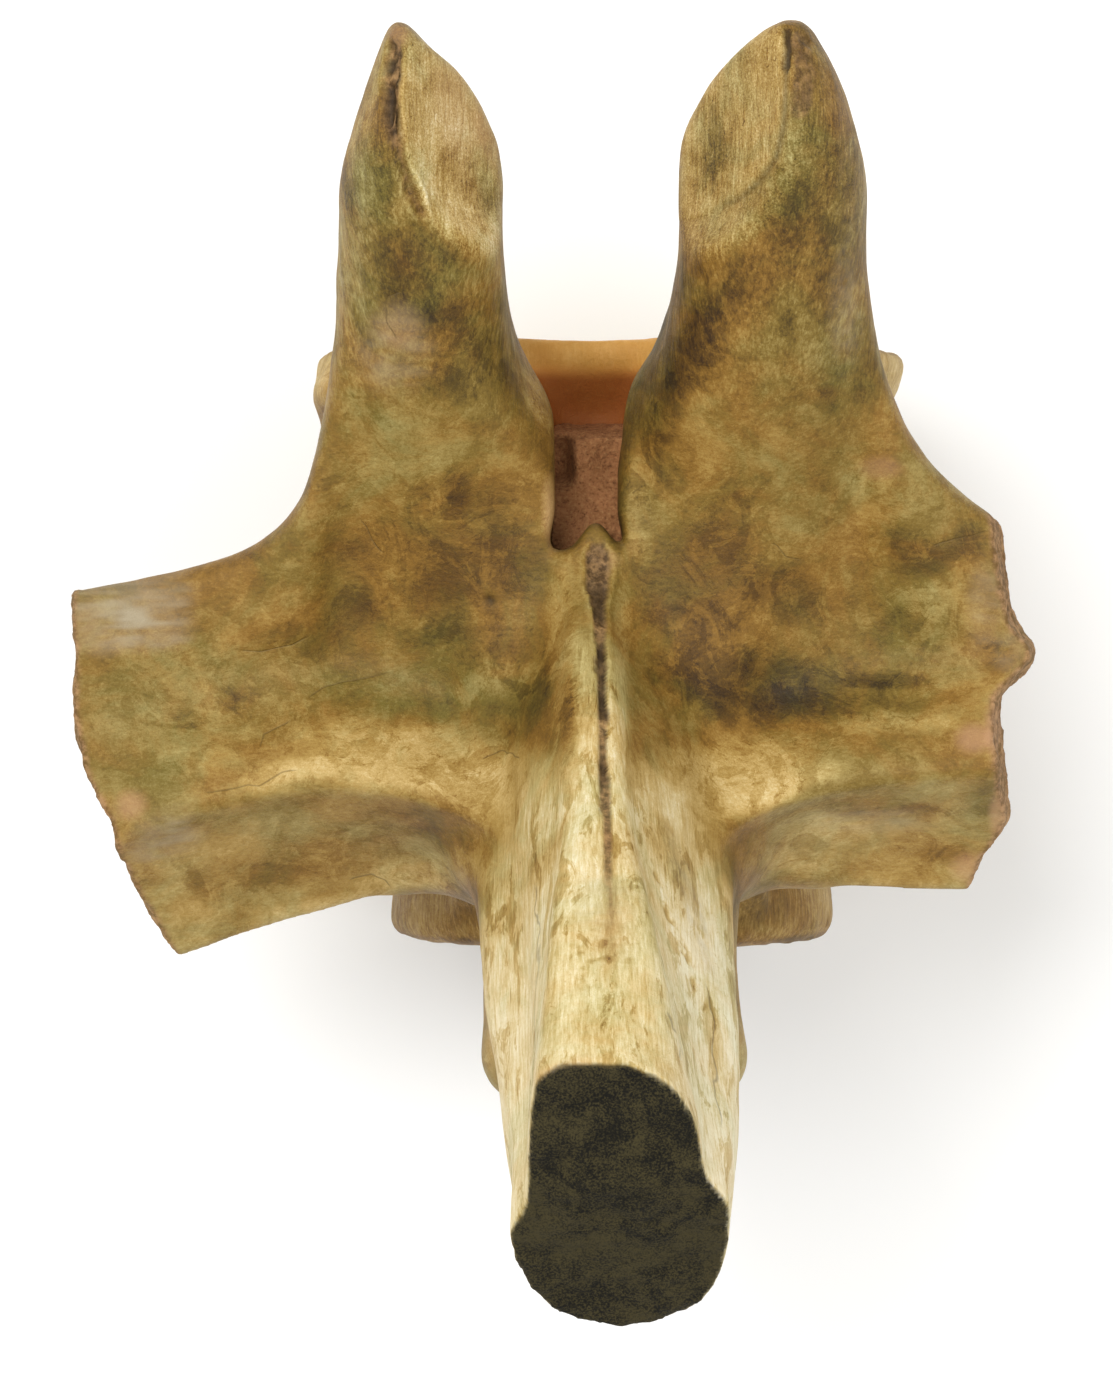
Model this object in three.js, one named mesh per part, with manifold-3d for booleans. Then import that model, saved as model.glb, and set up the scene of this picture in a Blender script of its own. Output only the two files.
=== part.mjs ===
import * as THREE from 'three';
import Module from 'manifold-3d';

// A tail vertebra of a spinosaurus at life size, lying on the underside of its centrum.
// Millimetres. X points to the bone's right as it is seen from above with the front end up,
// Y to the front and Z up, with the floor at Z = 0 and Y = 0 half way along the centrum.
// The bone is written as one distance-like function, negative inside, whose pieces flow into
// each other, and its surface is then followed with a net of about five millimetres.

// Place of the bone in the model's frame
const FRAME_X = 9.9;
const FRAME_Y = 3.4;

// Centrum
const CENTRUM_LENGTH = 121;
const FRONT_RIM_HALF_WIDTH = 61.8;
const REAR_RIM_HALF_WIDTH = 46.2;
const FRONT_RIM_X = 1.3;
const REAR_RIM_X = 1.6;
const FRONT_RIM_TOP = 112.5;
const REAR_RIM_TOP = 101.5;
const WAIST_TOP = 96;
const WAIST_BOTTOM = 14;
const WAIST_SHARE = 0.75;
const RIM_BELOW_FLOOR = 3.6;
const RIM_ROUNDING = 5;
const FRONT_RIM_ROUNDING = 3.5;
const REAR_CORNER_ROUNDING = 5.5;
const CENTRUM_SQUARENESS = 2.3;
const BELLY_GROOVE_DEPTH = 3.6;
const BELLY_GROOVE_WIDTH = 9;
const FRONT_HOLLOW = { sign: 1, depth: 11, height: 56, radius: 110 };
const REAR_HOLLOW = { sign: -1, depth: 9, height: 50, radius: 85 };
const LEFT_FLANGES = [
  { centre: [-54, 51.5, 68], size: [6, 6, 22] },
  { centre: [-51.6, 42, 63], size: [7, 8, 21] },
];

// Neural arch and canal
const ARCH_HALF_WIDTH = 26;
const ARCH_HALF_LENGTH = 40;
const ARCH_MIDDLE_Y = -8;
const ARCH_BOTTOM = 88;
const ARCH_TOP = 136;
const CANAL_X = -2.4;
const CANAL_Z = 112;
const CANAL_HALF_WIDTH = 9.5;
const CANAL_HALF_HEIGHT = 10.5;
const CANAL_RISE_AT_FRONT = 9.5;
const SLOT_X = -4.3;
const SLOT_REAR_Y = 17.6;
const SLOT_TONGUE = { x: -2.5, length: 5.6, width: 3.5 };
const SLOT_FLOOR_Z = 103.5;
const SLOT_FLOOR_RISE = 7.5;
const MATRIX_CLEARANCE = 0.5;
const MATRIX_REAR_Y = -44;
const MATRIX_FRONT_Y = 43.5;
const MATRIX_TOP_Z = 119;

// Neural spine: its front edge, its break and the lean of its sides
const SPINE_ROOT = { y: 18, z: 136 };
const SPINE_PEAK = { y: -73, z: 236 };
const SPINE_LEAN = 0.72;
const SPINE_FLOOR_Z = 116;
const REAR_GROOVE_DEPTH = 6;
const REAR_GROOVE_WIDTH = 6.5;
const FRONT_BREAK = { y: -73, z: 236, ny: -0.46, nz: 0.89 };
const REAR_BREAK = { y: -98, z: 222, ny: -0.62, nz: 0.785 };

// Drop of the wings' rear face from the crest to the rear edge
const WING_DROP = 26;

// Net spacing, mm: [from, step] pairs, and the last entry is the far side
const NET_X = [[-108, 7], [-56, 5.5], [-30, 4.6], [26, 5.5], [56, 7], [90]];
const NET_Y = [[-129, 6], [-72, 6.4], [12, 5.5], [66, 6], [121]];
const NET_Z = [[-12, 6], [12, 8.4], [96, 5], [150, 6.2], [241]];
const MATRIX_NET_X = [[-18, 3.6], [12]];
const MATRIX_NET_Y = [[-52, 5.5], [14, 4], [52]];
const MATRIX_NET_Z = [[96, 3.4], [130]];

const BONE_COLOUR = 0xb29c63;
const MATRIX_COLOUR = 0x8a6150;

const clamp = (v, low = 0, high = 1) => Math.min(high, Math.max(low, v));
const mix = (a, b, t) => a + (b - a) * t;
const sq = (v) => v * v;

function ramp(v, from, to) {
  const t = clamp((v - from) / (to - from));
  return t * t * (3 - 2 * t);
}

// Union of two bodies with a fillet of about size k, and the cut that matches it
function blend(a, b, k) {
  const h = clamp(0.5 + 0.5 * (b - a) / k);
  return mix(b, a, h) - k * h * (1 - h);
}
const trim = (a, b, k) => -blend(-a, -b, k);

// A smooth line through [position, value] pairs that never overshoots them
function line(pairs) {
  const slopes = pairs.slice(1).map((p, i) => (p[1] - pairs[i][1]) / (p[0] - pairs[i][0]));
  const tangents = pairs.map((p, i) => {
    if (i === 0) return slopes[0];
    if (i === pairs.length - 1) return slopes[i - 1];
    const before = slopes[i - 1];
    const after = slopes[i];
    return before * after > 0 ? 2 * before * after / (before + after) : 0;
  });
  return (v) => {
    const at = clamp(v, pairs[0][0], pairs[pairs.length - 1][0]);
    let i = 0;
    while (i < pairs.length - 2 && at > pairs[i + 1][0]) i += 1;
    const span = pairs[i + 1][0] - pairs[i][0];
    const t = (at - pairs[i][0]) / span;
    const t2 = t * t;
    const t3 = t2 * t;
    return (2 * t3 - 3 * t2 + 1) * pairs[i][1] + (t3 - 2 * t2 + t) * span * tangents[i]
      + (3 * t2 - 2 * t3) * pairs[i + 1][1] + (t3 - t2) * span * tangents[i + 1];
  };
}

// A rounded box or oval in section: half sizes a and b, squareness n
function oval(u, v, a, b, n) {
  const k = Math.pow(Math.pow(Math.abs(u) / a, n) + Math.pow(Math.abs(v) / b, n), 1 / n);
  return (k - 1) * Math.min(a, b);
}

function ellipsoid(x, y, z, centre, size) {
  const dx = x - centre[0];
  const dy = y - centre[1];
  const dz = z - centre[2];
  const k0 = Math.hypot(dx / size[0], dy / size[1], dz / size[2]);
  const k1 = Math.hypot(dx / sq(size[0]), dy / sq(size[1]), dz / sq(size[2])) + 1e-9;
  return k0 * (k0 - 1) / k1;
}

function capsule(x, y, z, from, to, radiusFrom, radiusTo) {
  const along = to.map((v, i) => v - from[i]);
  const reach = sq(along[0]) + sq(along[1]) + sq(along[2]);
  const at = [x - from[0], y - from[1], z - from[2]];
  const h = clamp((at[0] * along[0] + at[1] * along[1] + at[2] * along[2]) / reach);
  const off = at.map((v, i) => v - h * along[i]);
  return Math.hypot(off[0], off[1], off[2]) - mix(radiusFrom, radiusTo, h);
}

// The spool of the centrum: wide rims, a waist, hollow ends and a groove along the belly
function centrum(x, y, z) {
  const end = CENTRUM_LENGTH / 2;
  const t = clamp((y + end) / CENTRUM_LENGTH);
  const a = Math.abs(2 * t - 1);
  const rim = 0.35 * Math.pow(a, 1.8) + 0.65 * ramp(a, 0.3, 0.94);
  const share = mix(WAIST_SHARE, 1, rim);
  const halfWidth = mix(REAR_RIM_HALF_WIDTH, FRONT_RIM_HALF_WIDTH, t) * share;
  const top = mix(WAIST_TOP, mix(REAR_RIM_TOP, FRONT_RIM_TOP, t), rim);
  const groove = BELLY_GROOVE_DEPTH * (1 - rim) * Math.exp(-sq(x / BELLY_GROOVE_WIDTH));
  const bottom = mix(WAIST_BOTTOM, -RIM_BELOW_FLOOR, rim) + groove;
  const middle = (top + bottom) / 2;
  const wall = oval(x - mix(REAR_RIM_X, FRONT_RIM_X, t), z - middle, halfWidth,
    (top - bottom) / 2, CENTRUM_SQUARENESS);
  const rearCorner = ramp(z, 14, 40) * ramp(-y, 20, 40);
  const rounding = mix(mix(RIM_ROUNDING, FRONT_RIM_ROUNDING, t), REAR_CORNER_ROUNDING, rearCorner);
  let d = trim(wall, Math.abs(y) - end, rounding);
  for (const hollow of [FRONT_HOLLOW, REAR_HOLLOW]) {
    const centreY = hollow.sign * (end + hollow.radius - hollow.depth);
    const ball = Math.hypot(x, y - centreY, z - hollow.height) - hollow.radius;
    d = trim(d, -ball, RIM_ROUNDING);
  }
  for (const flange of LEFT_FLANGES) {
    d = blend(d, ellipsoid(x, y, z, flange.centre, flange.size), 4);
  }
  return d;
}

function arch(x, y, z) {
  const walls = Math.abs(x) - ARCH_HALF_WIDTH;
  const ends = Math.abs(y - ARCH_MIDDLE_Y) - ARCH_HALF_LENGTH;
  return trim(trim(walls, ends, 14), trim(z - ARCH_TOP, ARCH_BOTTOM - z, 8), 10);
}

// Front articular prongs: outer and inner edge against y, and where the facet's ridge lies
const LEFT_PRONG = {
  outer: line([[-10, 40], [20, 46], [52, 51.6], [83, 50.4], [100, 45.8], [114.5, 40.2]]),
  inner: line([[-10, 4], [35, 10], [54, 17.4], [75, 19.7], [86, 20.2], [92, 21], [97.7, 23.2],
    [102, 25.6], [105.5, 28.4], [109, 33], [114.5, 38]]),
  ridge: 37,
};
const RIGHT_PRONG = {
  outer: line([[-10, 40], [20, 43], [52, 48.3], [83, 47.8], [100, 43.8], [114.5, 35.6]]),
  inner: line([[-10, 4], [27, 5.6], [40, 6.6], [61, 11.2], [75, 13.2], [92, 13.6], [103, 18.4],
    [114.5, 31]]),
  ridge: 31.5,
};
const PRONG_TIP_Y = 114.4;
const prongHeight = line([[-10, 110], [20, 120], [60, 141], [90, 155], [114.5, 166]]);
const prongHalfDepth = line([[-10, 14], [20, 20], [60, 24], [90, 26], [104, 20], [114.5, 9]]);

function prong(m, y, z, shape) {
  const outer = shape.outer(y);
  const inner = shape.inner(y);
  const halfWidth = (outer - inner) / 2 + 0.2;
  const body = oval(m - (outer + inner) / 2, z - prongHeight(y), halfWidth, prongHalfDepth(y), 2.4);
  const ends = Math.max(y - PRONG_TIP_Y, -12 - y);
  // The facet is a flat that faces up and inwards, and it ends 30 mm behind the tip
  const behind = 9 * (1 - ramp(y, 58, 84));
  const facet = (m - shape.ridge) * -0.82 + (z - 180) * 0.57 - behind;
  return trim(trim(body, ends, 3), facet, 1.4);
}

// Transverse processes: front edge, rear edge and crest against the distance m from the
// middle, and the broken outer end against y
const LEFT_WING = {
  front: line([[20, 50], [36, 53], [44, 58], [51, 47], [58.7, 27.3], [68, 19], [78, 15.3],
    [101, 10.4]]),
  rear: line([[20, -46], [43, -49.2], [52, -51.6], [66, -55.4], [84, -61.6], [101, -66.4]]),
  crest: line([[20, -34], [53, -27], [72, -30], [101, -40]]),
  end: line([[-66, 80.3], [-60, 82.8], [-46, 90], [-35, 93.2], [-24, 99], [-10, 101.2],
    [9, 101.2]]),
  lean: 0.06,
  leanFrom: 138,
};
const RIGHT_WING = {
  front: line([[20, 50], [38, 53], [46, 58], [51.5, 48], [57.2, 39.2], [66.7, 29.8], [81, 20]]),
  rear: line([[20, -46], [45, -47.8], [81, -49]]),
  crest: line([[20, -36], [32, -31], [51.5, -26.3], [81, -24]]),
  end: line([[-49, 68], [-41, 71.4], [-33, 76], [-24, 75.2], [-11, 74], [-2, 80.6],
    [4.5, 76.8], [24, 74]]),
  lean: 0.16,
  leanFrom: 127,
};
const basinHeight = line([[0, 124], [30, 124], [60, 128], [101, 136]]);
const crestHeight = line([[0, 150], [26, 146], [45, 142], [75, 143], [101, 146]]);
const wingUnderside = line([[20, 84], [45, 97], [70, 108], [101, 119]]);
const wingFrontDepth = line([[20, 30], [50, 22], [75, 15], [101, 14]]);

function wing(m, y, z, shape) {
  const front = shape.front(m);
  const rear = shape.rear(m);
  const crestY = shape.crest(m);
  const crest = crestHeight(m);
  const basin = basinHeight(m);
  const ahead = (y - crestY) / (front - crestY);
  const shoulder = 5 + 13 * Math.exp(-sq((m - 50) / 16));
  const top = mix(crest, basin, ramp(y - crestY, 0, 26)) + shoulder * ramp(ahead, 0.25, 1);
  // Rear face, from the crest down and back to the rear edge, a little hollow
  const run = crestY - rear;
  const slope = Math.hypot(WING_DROP, run);
  const hollow = 2 * Math.sin(Math.PI * clamp((crestY - y) / run));
  const rearFace = ((crestY - y) * WING_DROP - (crest - z) * run) / slope + hollow;
  // Underside, thick under the basin and thin at both edges
  const low = wingUnderside(m);
  const rearLow = mix(low, crest - WING_DROP - 1.5, ramp(m, 24, 48));
  const frontLow = top - wingFrontDepth(m);
  const across = (y - rear) / (front - rear);
  const under = mix(mix(rearLow, low, ramp(across, 0, 0.32)), frontLow, ramp(across, 0.5, 1));
  let d = trim((z - top) * 0.92, (under - z) * 0.9, 7);
  d = trim(d, rearFace, 3);
  d = trim(d, y - front, 6);
  d = trim(d, rear - y - 0.5, 3);
  d = trim(d, m - shape.end(y) - 0.8 + shape.lean * (z - shape.leanFrom), 2);
  return Math.max(d, 8 - m);
}

// Neural spine: where its front and rear edges lie, and its half width at the front edge, in
// the groove of its sides and at the rear laminae, all against height
const spineRear = line([[130, -52], [150, -62], [175, -87], [205, -124], [236, -150]]);
const spineFrontX = line([[140, -3.8], [160, -3.4], [203, -2.2], [230, -0.8], [236, 0.2]]);
const spineRearX = line([[140, -1], [165, -0.5], [190, 1.5], [203, 1.8], [216, 0.9]]);
const spineEdge = line([[130, 3.2], [145, 4], [159, 5], [186, 6], [203, 8.4], [230, 13.2],
  [236, 15]]);
const spineGroove = line([[130, 17], [160, 14.5], [190, 14.5], [236, 15.6]]);
const spineLamina = line([[130, 27], [160, 24.6], [185, 21.8], [205, 19.6], [236, 18.5]]);

function spine(x, y, z) {
  const rise = (z - SPINE_ROOT.z) / (SPINE_PEAK.z - SPINE_ROOT.z);
  const front = mix(SPINE_ROOT.y, SPINE_PEAK.y, rise);
  const groove = REAR_GROOVE_DEPTH * Math.exp(-sq((x - 0.5) / REAR_GROOVE_WIDTH));
  const rear = spineRear(z) + groove * (1 - ramp(z, 165, 198));
  const twist = 0.0035 * (x - 1) * ramp(z, 190, 225);
  const back = clamp((front - y) / Math.max(front - rear, 1)) + twist;
  const x0 = mix(spineFrontX(z), spineRearX(z), ramp(back, 0.1, 0.6));
  const up = ramp(z, 150, 215);
  const toGroove = mix(spineEdge(z), spineGroove(z), ramp(back, 0, 0.42));
  const laminaShare = ramp(back, mix(0.3, 0.38, up), mix(0.85, 0.56, up));
  const halfWidth = mix(toGroove, spineLamina(z), laminaShare);
  const topCorner = mix(8, 15, ramp(x - x0, -6, 6));
  const frontCorner = mix(4, topCorner, ramp(z, 205, 234));
  const heel = mix(17, 26, ramp(z, 190, 215));
  let d = trim((Math.abs(x - x0) - halfWidth) * 0.85, (y - front) * SPINE_LEAN, frontCorner);
  d = trim(d, (rear - y) * SPINE_LEAN, heel);
  for (const face of [FRONT_BREAK, REAR_BREAK]) {
    d = trim(d, (y - face.y) * face.ny + (z - face.z) * face.nz, 1.5);
  }
  return trim(d, SPINE_FLOOR_Z - z, 4);
}

// Rear articular processes: a pillar each, with a facet that faces down and outwards
const LEFT_PILLAR = { from: [14, -57, 138], to: [15.4, -77, 158] };
const RIGHT_PILLAR = { from: [14.2, -57, 138], to: [17, -77, 158] };

function rearPillar(m, y, z, shape) {
  const body = capsule(m, y, z, shape.from, shape.to, 8.6, 8.4);
  return trim(body, (m - 25.2) * 0.7 + (135.5 - z) * 0.7, 2);
}

// The canal's floor rises in a smooth slope behind the front rim
function canal(x, y, z) {
  const rise = CANAL_RISE_AT_FRONT * ramp(y, 45, 58);
  return oval(x - CANAL_X, z - CANAL_Z - rise, CANAL_HALF_WIDTH, CANAL_HALF_HEIGHT, 2);
}

// The open slot over the canal, which widens forward into the gap between the prongs
const slotHalfWidth = line([[15, 6.8], [20, 7], [26, 6.1], [43, 6.4], [60, 12.9], [78, 15.2],
  [90, 14], [125, 14]]);

function slot(x, y, z) {
  const walls = (Math.abs(x - SLOT_X) - slotHalfWidth(y)) * 0.95;
  const tongue = SLOT_TONGUE.length * Math.exp(-sq((x - SLOT_TONGUE.x) / SLOT_TONGUE.width));
  const floor = SLOT_FLOOR_Z + SLOT_FLOOR_RISE * ramp(y, 45, 58);
  return trim(trim(walls, SLOT_REAR_Y + tongue - y, 2.5), floor - z, 4);
}

function bone(x, y, z) {
  let d = blend(centrum(x, y, z), arch(x, y, z), 9);
  let sides = blend(wing(-x, y, z, LEFT_WING), wing(x, y, z, RIGHT_WING), 6);
  sides = blend(sides, prong(-x, y, z, LEFT_PRONG), 18);
  sides = blend(sides, prong(x, y, z, RIGHT_PRONG), 18);
  d = blend(d, sides, 9);
  d = blend(d, spine(x, y, z), 10);
  d = blend(d, rearPillar(-x, y, z, LEFT_PILLAR), 9);
  d = blend(d, rearPillar(x, y, z, RIGHT_PILLAR), 9);
  d = trim(d, -slot(x, y, z), 3);
  return trim(d, -canal(x, y, z), 3);
}

// The stone left in the canal and the slot. Its top is uneven and falls away at the left.
function stone(x, y, z) {
  const swell = 1.2 * Math.sin(y * 0.31) * Math.cos(x * 0.4);
  const dip = 7 * Math.exp(-sq((x + 9) / 3.5) - sq((y - 36) / 6));
  const top = MATRIX_TOP_Z + 3 * ramp(y, 34, 18) + swell - dip;
  const ends = Math.max(y - MATRIX_FRONT_Y + 0.25 * (z - 105), MATRIX_REAR_Y - y);
  const box = Math.max(Math.abs(x - SLOT_X) - 13, 99 - z);
  return trim(trim(Math.max(box, z - top), ends, 2), MATRIX_CLEARANCE - bone(x, y, z), 1);
}

function netLines(pairs) {
  const out = [];
  for (let i = 0; i < pairs.length - 1; i += 1) {
    const from = pairs[i][0];
    const to = pairs[i + 1][0];
    const count = Math.max(1, Math.round((to - from) / pairs[i][1]));
    for (let k = 0; k < count; k += 1) out.push(mix(from, to, k / count));
  }
  out.push(pairs[pairs.length - 1][0]);
  return out;
}

function slopeOf(field, p) {
  const h = 0.05;
  return [0, 1, 2].map((n) => {
    const ahead = p.map((v, m) => (m === n ? v + h : v));
    const behind = p.map((v, m) => (m === n ? v - h : v));
    return (field(...ahead) - field(...behind)) / (2 * h);
  });
}

// Where the surface crosses the line from a to b
function crossing(field, a, b, va, vb) {
  let near = { t: 0, v: va };
  let far = { t: 1, v: vb };
  for (let pass = 0; pass < 4; pass += 1) {
    const t = mix(near.t, far.t, clamp(near.v / (near.v - far.v), 0.05, 0.95));
    const v = field(...a.map((from, n) => mix(from, b[n], t)));
    if ((v < 0) === (near.v < 0)) near = { t, v };
    else far = { t, v };
  }
  const t = mix(near.t, far.t, near.v / (near.v - far.v));
  return a.map((from, n) => mix(from, b[n], t));
}

// The point that lies best on all the planes given by hits and their normals, and near the
// hits' mean, so that a net point sits on an edge of the form where the cell holds one
const PULL_TO_MEAN = 0.08;

function fitPoint(hits, normals) {
  const mean = [0, 1, 2].map((n) => hits.reduce((sum, p) => sum + p[n], 0) / hits.length);
  const m = [PULL_TO_MEAN, 0, 0, PULL_TO_MEAN, 0, PULL_TO_MEAN];
  const r = [0, 0, 0];
  hits.forEach((p, i) => {
    const [nx, ny, nz] = normals[i];
    const off = nx * (p[0] - mean[0]) + ny * (p[1] - mean[1]) + nz * (p[2] - mean[2]);
    [nx * nx, nx * ny, nx * nz, ny * ny, ny * nz, nz * nz].forEach((v, k) => { m[k] += v; });
    [nx, ny, nz].forEach((v, k) => { r[k] += v * off; });
  });
  const system = new THREE.Matrix3(m[0], m[1], m[2], m[1], m[3], m[4], m[2], m[4], m[5]);
  const shift = new THREE.Vector3(...r).applyMatrix3(system.invert());
  return [mean[0] + shift.x, mean[1] + shift.y, mean[2] + shift.z];
}

// Moves a point part of the way back to the surface, so that rounded edges stay round
const SHARPNESS = 0.3;

function drawIn(field, p, sharpness) {
  const slope = slopeOf(field, p);
  const steep = slope.reduce((sum, v) => sum + v * v, 1e-6);
  const back = field(...p) * (1 - sharpness) / steep;
  return p.map((v, n) => v - slope[n] * back);
}

// Corners of a cell, and its twelve edges as [corner, corner, axis, slot]
const CORNERS = [0, 1, 2, 3, 4, 5, 6, 7].map((c) => [c & 1, (c >> 1) & 1, c >> 2]);
const EDGES = [];
for (let axis = 0; axis < 3; axis += 1) {
  const others = [0, 1, 2].filter((other) => other !== axis);
  for (let c = 0; c < 8; c += 1) {
    if (CORNERS[c][axis] === 1) continue;
    const slotNumber = CORNERS[c][others[0]] + 2 * CORNERS[c][others[1]];
    EDGES.push([c, c + (1 << axis), axis, slotNumber]);
  }
}
const FACES = [[0, 1, 3, 2], [4, 5, 7, 6], [0, 1, 5, 4], [2, 3, 7, 6], [0, 2, 6, 4], [1, 3, 7, 5]];

// Groups a cell's corners: those on one side that share an edge, and outer corners across a
// face whose other two corners are inside. Two sheets in one cell so stay apart.
function cornerGroups(inside) {
  const groupOf = [0, 1, 2, 3, 4, 5, 6, 7];
  const join = (a, b) => {
    const from = groupOf[b];
    const to = groupOf[a];
    for (let c = 0; c < 8; c += 1) if (groupOf[c] === from) groupOf[c] = to;
  };
  for (const [a, b] of EDGES) if (inside[a] === inside[b]) join(a, b);
  for (const [a, b, c, d] of FACES) {
    if (inside[a] !== inside[c] || inside[b] !== inside[d] || inside[a] === inside[b]) continue;
    if (inside[a]) join(b, d);
    else join(a, c);
  }
  return groupOf;
}

// Surface of a field as a closed triangle mesh: a point for each sheet of the surface in each
// cell, and one quad across each grid edge that the surface crosses
function net(field, xs, ys, zs) {
  const ny = ys.length;
  const nz = zs.length;
  const at = (i, j, k) => (i * ny + j) * nz + k;
  const values = new Float64Array(xs.length * ny * nz);
  xs.forEach((x, i) => ys.forEach((y, j) => zs.forEach((z, k) => {
    values[at(i, j, k)] = field(x, y, z);
  })));
  const points = [];
  const pointAt = new Map();
  const eachCell = (visit) => {
    for (let i = 0; i < xs.length - 1; i += 1) {
      for (let j = 0; j < ny - 1; j += 1) {
        for (let k = 0; k < nz - 1; k += 1) visit(i, j, k);
      }
    }
  };
  eachCell((i, j, k) => {
    const value = CORNERS.map((c) => values[at(i + c[0], j + c[1], k + c[2])]);
    const inside = value.map((v) => v < 0);
    if (inside.every((v) => v === inside[0])) return;
    const groupOf = cornerGroups(inside);
    const corner = CORNERS.map((c) => [xs[i + c[0]], ys[j + c[1]], zs[k + c[2]]]);
    const sheets = new Map();
    for (const [a, b, axis, place] of EDGES) {
      if (inside[a] === inside[b]) continue;
      const key = inside[a] ? groupOf[a] * 8 + groupOf[b] : groupOf[b] * 8 + groupOf[a];
      if (!sheets.has(key)) sheets.set(key, { hits: [], edges: [] });
      const sheet = sheets.get(key);
      sheet.hits.push(crossing(field, corner[a], corner[b], value[a], value[b]));
      sheet.edges.push(axis * 4 + place);
    }
    for (const sheet of sheets.values()) {
      const normals = sheet.hits.map((hit) => {
        const slope = slopeOf(field, hit);
        const size = Math.hypot(...slope) || 1;
        return slope.map((v) => v / size);
      });
      const fitted = fitPoint(sheet.hits, normals);
      const kept = fitted.map((v, n) => clamp(v, corner[0][n], corner[7][n]));
      const p = drawIn(field, kept, SHARPNESS);
      for (const edge of sheet.edges) pointAt.set(at(i, j, k) * 12 + edge, points.length);
      points.push(p);
    }
  });
  const triangles = [];
  const gap = (a, b) => Math.hypot(...points[a].map((v, n) => v - points[b][n]));
  eachCell((i, j, k) => {
    const here = values[at(i, j, k)] < 0;
    for (let axis = 0; axis < 3; axis += 1) {
      const step = [0, 1, 2].map((n) => (n === axis ? 1 : 0));
      if (here === values[at(i + step[0], j + step[1], k + step[2])] < 0) continue;
      const others = [0, 1, 2].filter((other) => other !== axis);
      if ([i, j, k][others[0]] === 0 || [i, j, k][others[1]] === 0) continue;
      // The four cells round this edge, in turn, and the edge's place in each
      let q = [[1, 1], [0, 1], [0, 0], [1, 0]].map(([a, b]) => {
        const origin = [i, j, k];
        origin[others[0]] -= a;
        origin[others[1]] -= b;
        return pointAt.get(at(...origin) * 12 + axis * 4 + a + 2 * b);
      });
      if (here === (axis === 1)) q = q.reverse();
      if (gap(q[0], q[2]) > gap(q[1], q[3])) q = [q[1], q[2], q[3], q[0]];
      triangles.push(q[0], q[1], q[2], q[0], q[2], q[3]);
    }
  });
  return { points: new Float32Array(points.flat()), triangles: new Uint32Array(triangles) };
}

const wasm = await Module();
wasm.setup();

function solidFrom(points, triangles) {
  const mesh = new wasm.Mesh({ numProp: 3, vertProperties: points, triVerts: triangles });
  return new wasm.Manifold(mesh);
}

function block(size, centre) {
  const geometry = new THREE.BoxGeometry(...size);
  geometry.translate(...centre);
  const corners = [];
  const index = [];
  const seen = new Map();
  const position = geometry.getAttribute('position');
  for (const vertex of geometry.getIndex().array) {
    const p = [position.getX(vertex), position.getY(vertex), position.getZ(vertex)];
    const key = p.join(' ');
    if (!seen.has(key)) {
      seen.set(key, seen.size);
      corners.push(...p);
    }
    index.push(seen.get(key));
  }
  return solidFrom(new Float32Array(corners), new Uint32Array(index));
}

function largest(solid) {
  const pieces = solid.decompose();
  return pieces.reduce((best, piece) => (piece.volume() > best.volume() ? piece : best));
}

function meshOf(solid, name, material) {
  const data = solid.getMesh();
  const geometry = new THREE.BufferGeometry();
  geometry.setAttribute('position', new THREE.BufferAttribute(data.vertProperties, 3));
  geometry.setIndex(new THREE.BufferAttribute(data.triVerts, 1));
  geometry.computeVertexNormals();
  const mesh = new THREE.Mesh(geometry, material);
  mesh.name = name;
  mesh.position.set(FRAME_X, FRAME_Y, 0);
  return mesh;
}

// The bone: both rims reach a little below the floor and are worn flat on it
function makeVertebra() {
  const raw = net(bone, netLines(NET_X), netLines(NET_Y), netLines(NET_Z));
  const below = block([400, 400, 40], [0, 0, -20]);
  return largest(solidFrom(raw.points, raw.triangles).subtract(below));
}

function makeCanalStone() {
  const xs = netLines(MATRIX_NET_X);
  const raw = net(stone, xs, netLines(MATRIX_NET_Y), netLines(MATRIX_NET_Z));
  return largest(solidFrom(raw.points, raw.triangles));
}

const fossilBone = new THREE.MeshStandardMaterial({ color: BONE_COLOUR, roughness: 0.55 });
const sandstone = new THREE.MeshStandardMaterial({ color: MATRIX_COLOUR, roughness: 0.9 });

const group = new THREE.Group();
group.name = 'spinosaurus_tail_vertebra';
group.add(meshOf(makeVertebra(), 'vertebra', fossilBone));
group.add(meshOf(makeCanalStone(), 'canal_matrix', sandstone));

export default group;
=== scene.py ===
"""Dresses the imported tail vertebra: a finely netted bone with its breaks, fibres and stains, the
sandstone left in its canal, a pale floor, soft studio light and a camera straight above."""

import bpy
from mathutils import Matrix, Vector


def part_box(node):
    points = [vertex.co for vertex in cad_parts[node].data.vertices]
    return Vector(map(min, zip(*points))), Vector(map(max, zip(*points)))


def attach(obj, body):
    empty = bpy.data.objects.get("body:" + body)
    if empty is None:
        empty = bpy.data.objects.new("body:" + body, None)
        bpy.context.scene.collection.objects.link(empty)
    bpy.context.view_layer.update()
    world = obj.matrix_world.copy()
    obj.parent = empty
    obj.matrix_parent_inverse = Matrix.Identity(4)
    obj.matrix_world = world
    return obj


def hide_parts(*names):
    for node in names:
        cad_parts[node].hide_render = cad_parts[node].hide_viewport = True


bl_info = {
    "name": "Fossil spinosaurus tail vertebra",
    "version": (1, 0, 0),
    "blender": (4, 5, 0),
    "location": "3D View > Sidebar > Vertebra",
    "description": "Builds a life-size fossil tail vertebra, its canal stone and a plain stage",
    "category": "Add Mesh",
}

import math

import bpy
import numpy as np
from bpy.props import FloatProperty, FloatVectorProperty, PointerProperty

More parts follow.
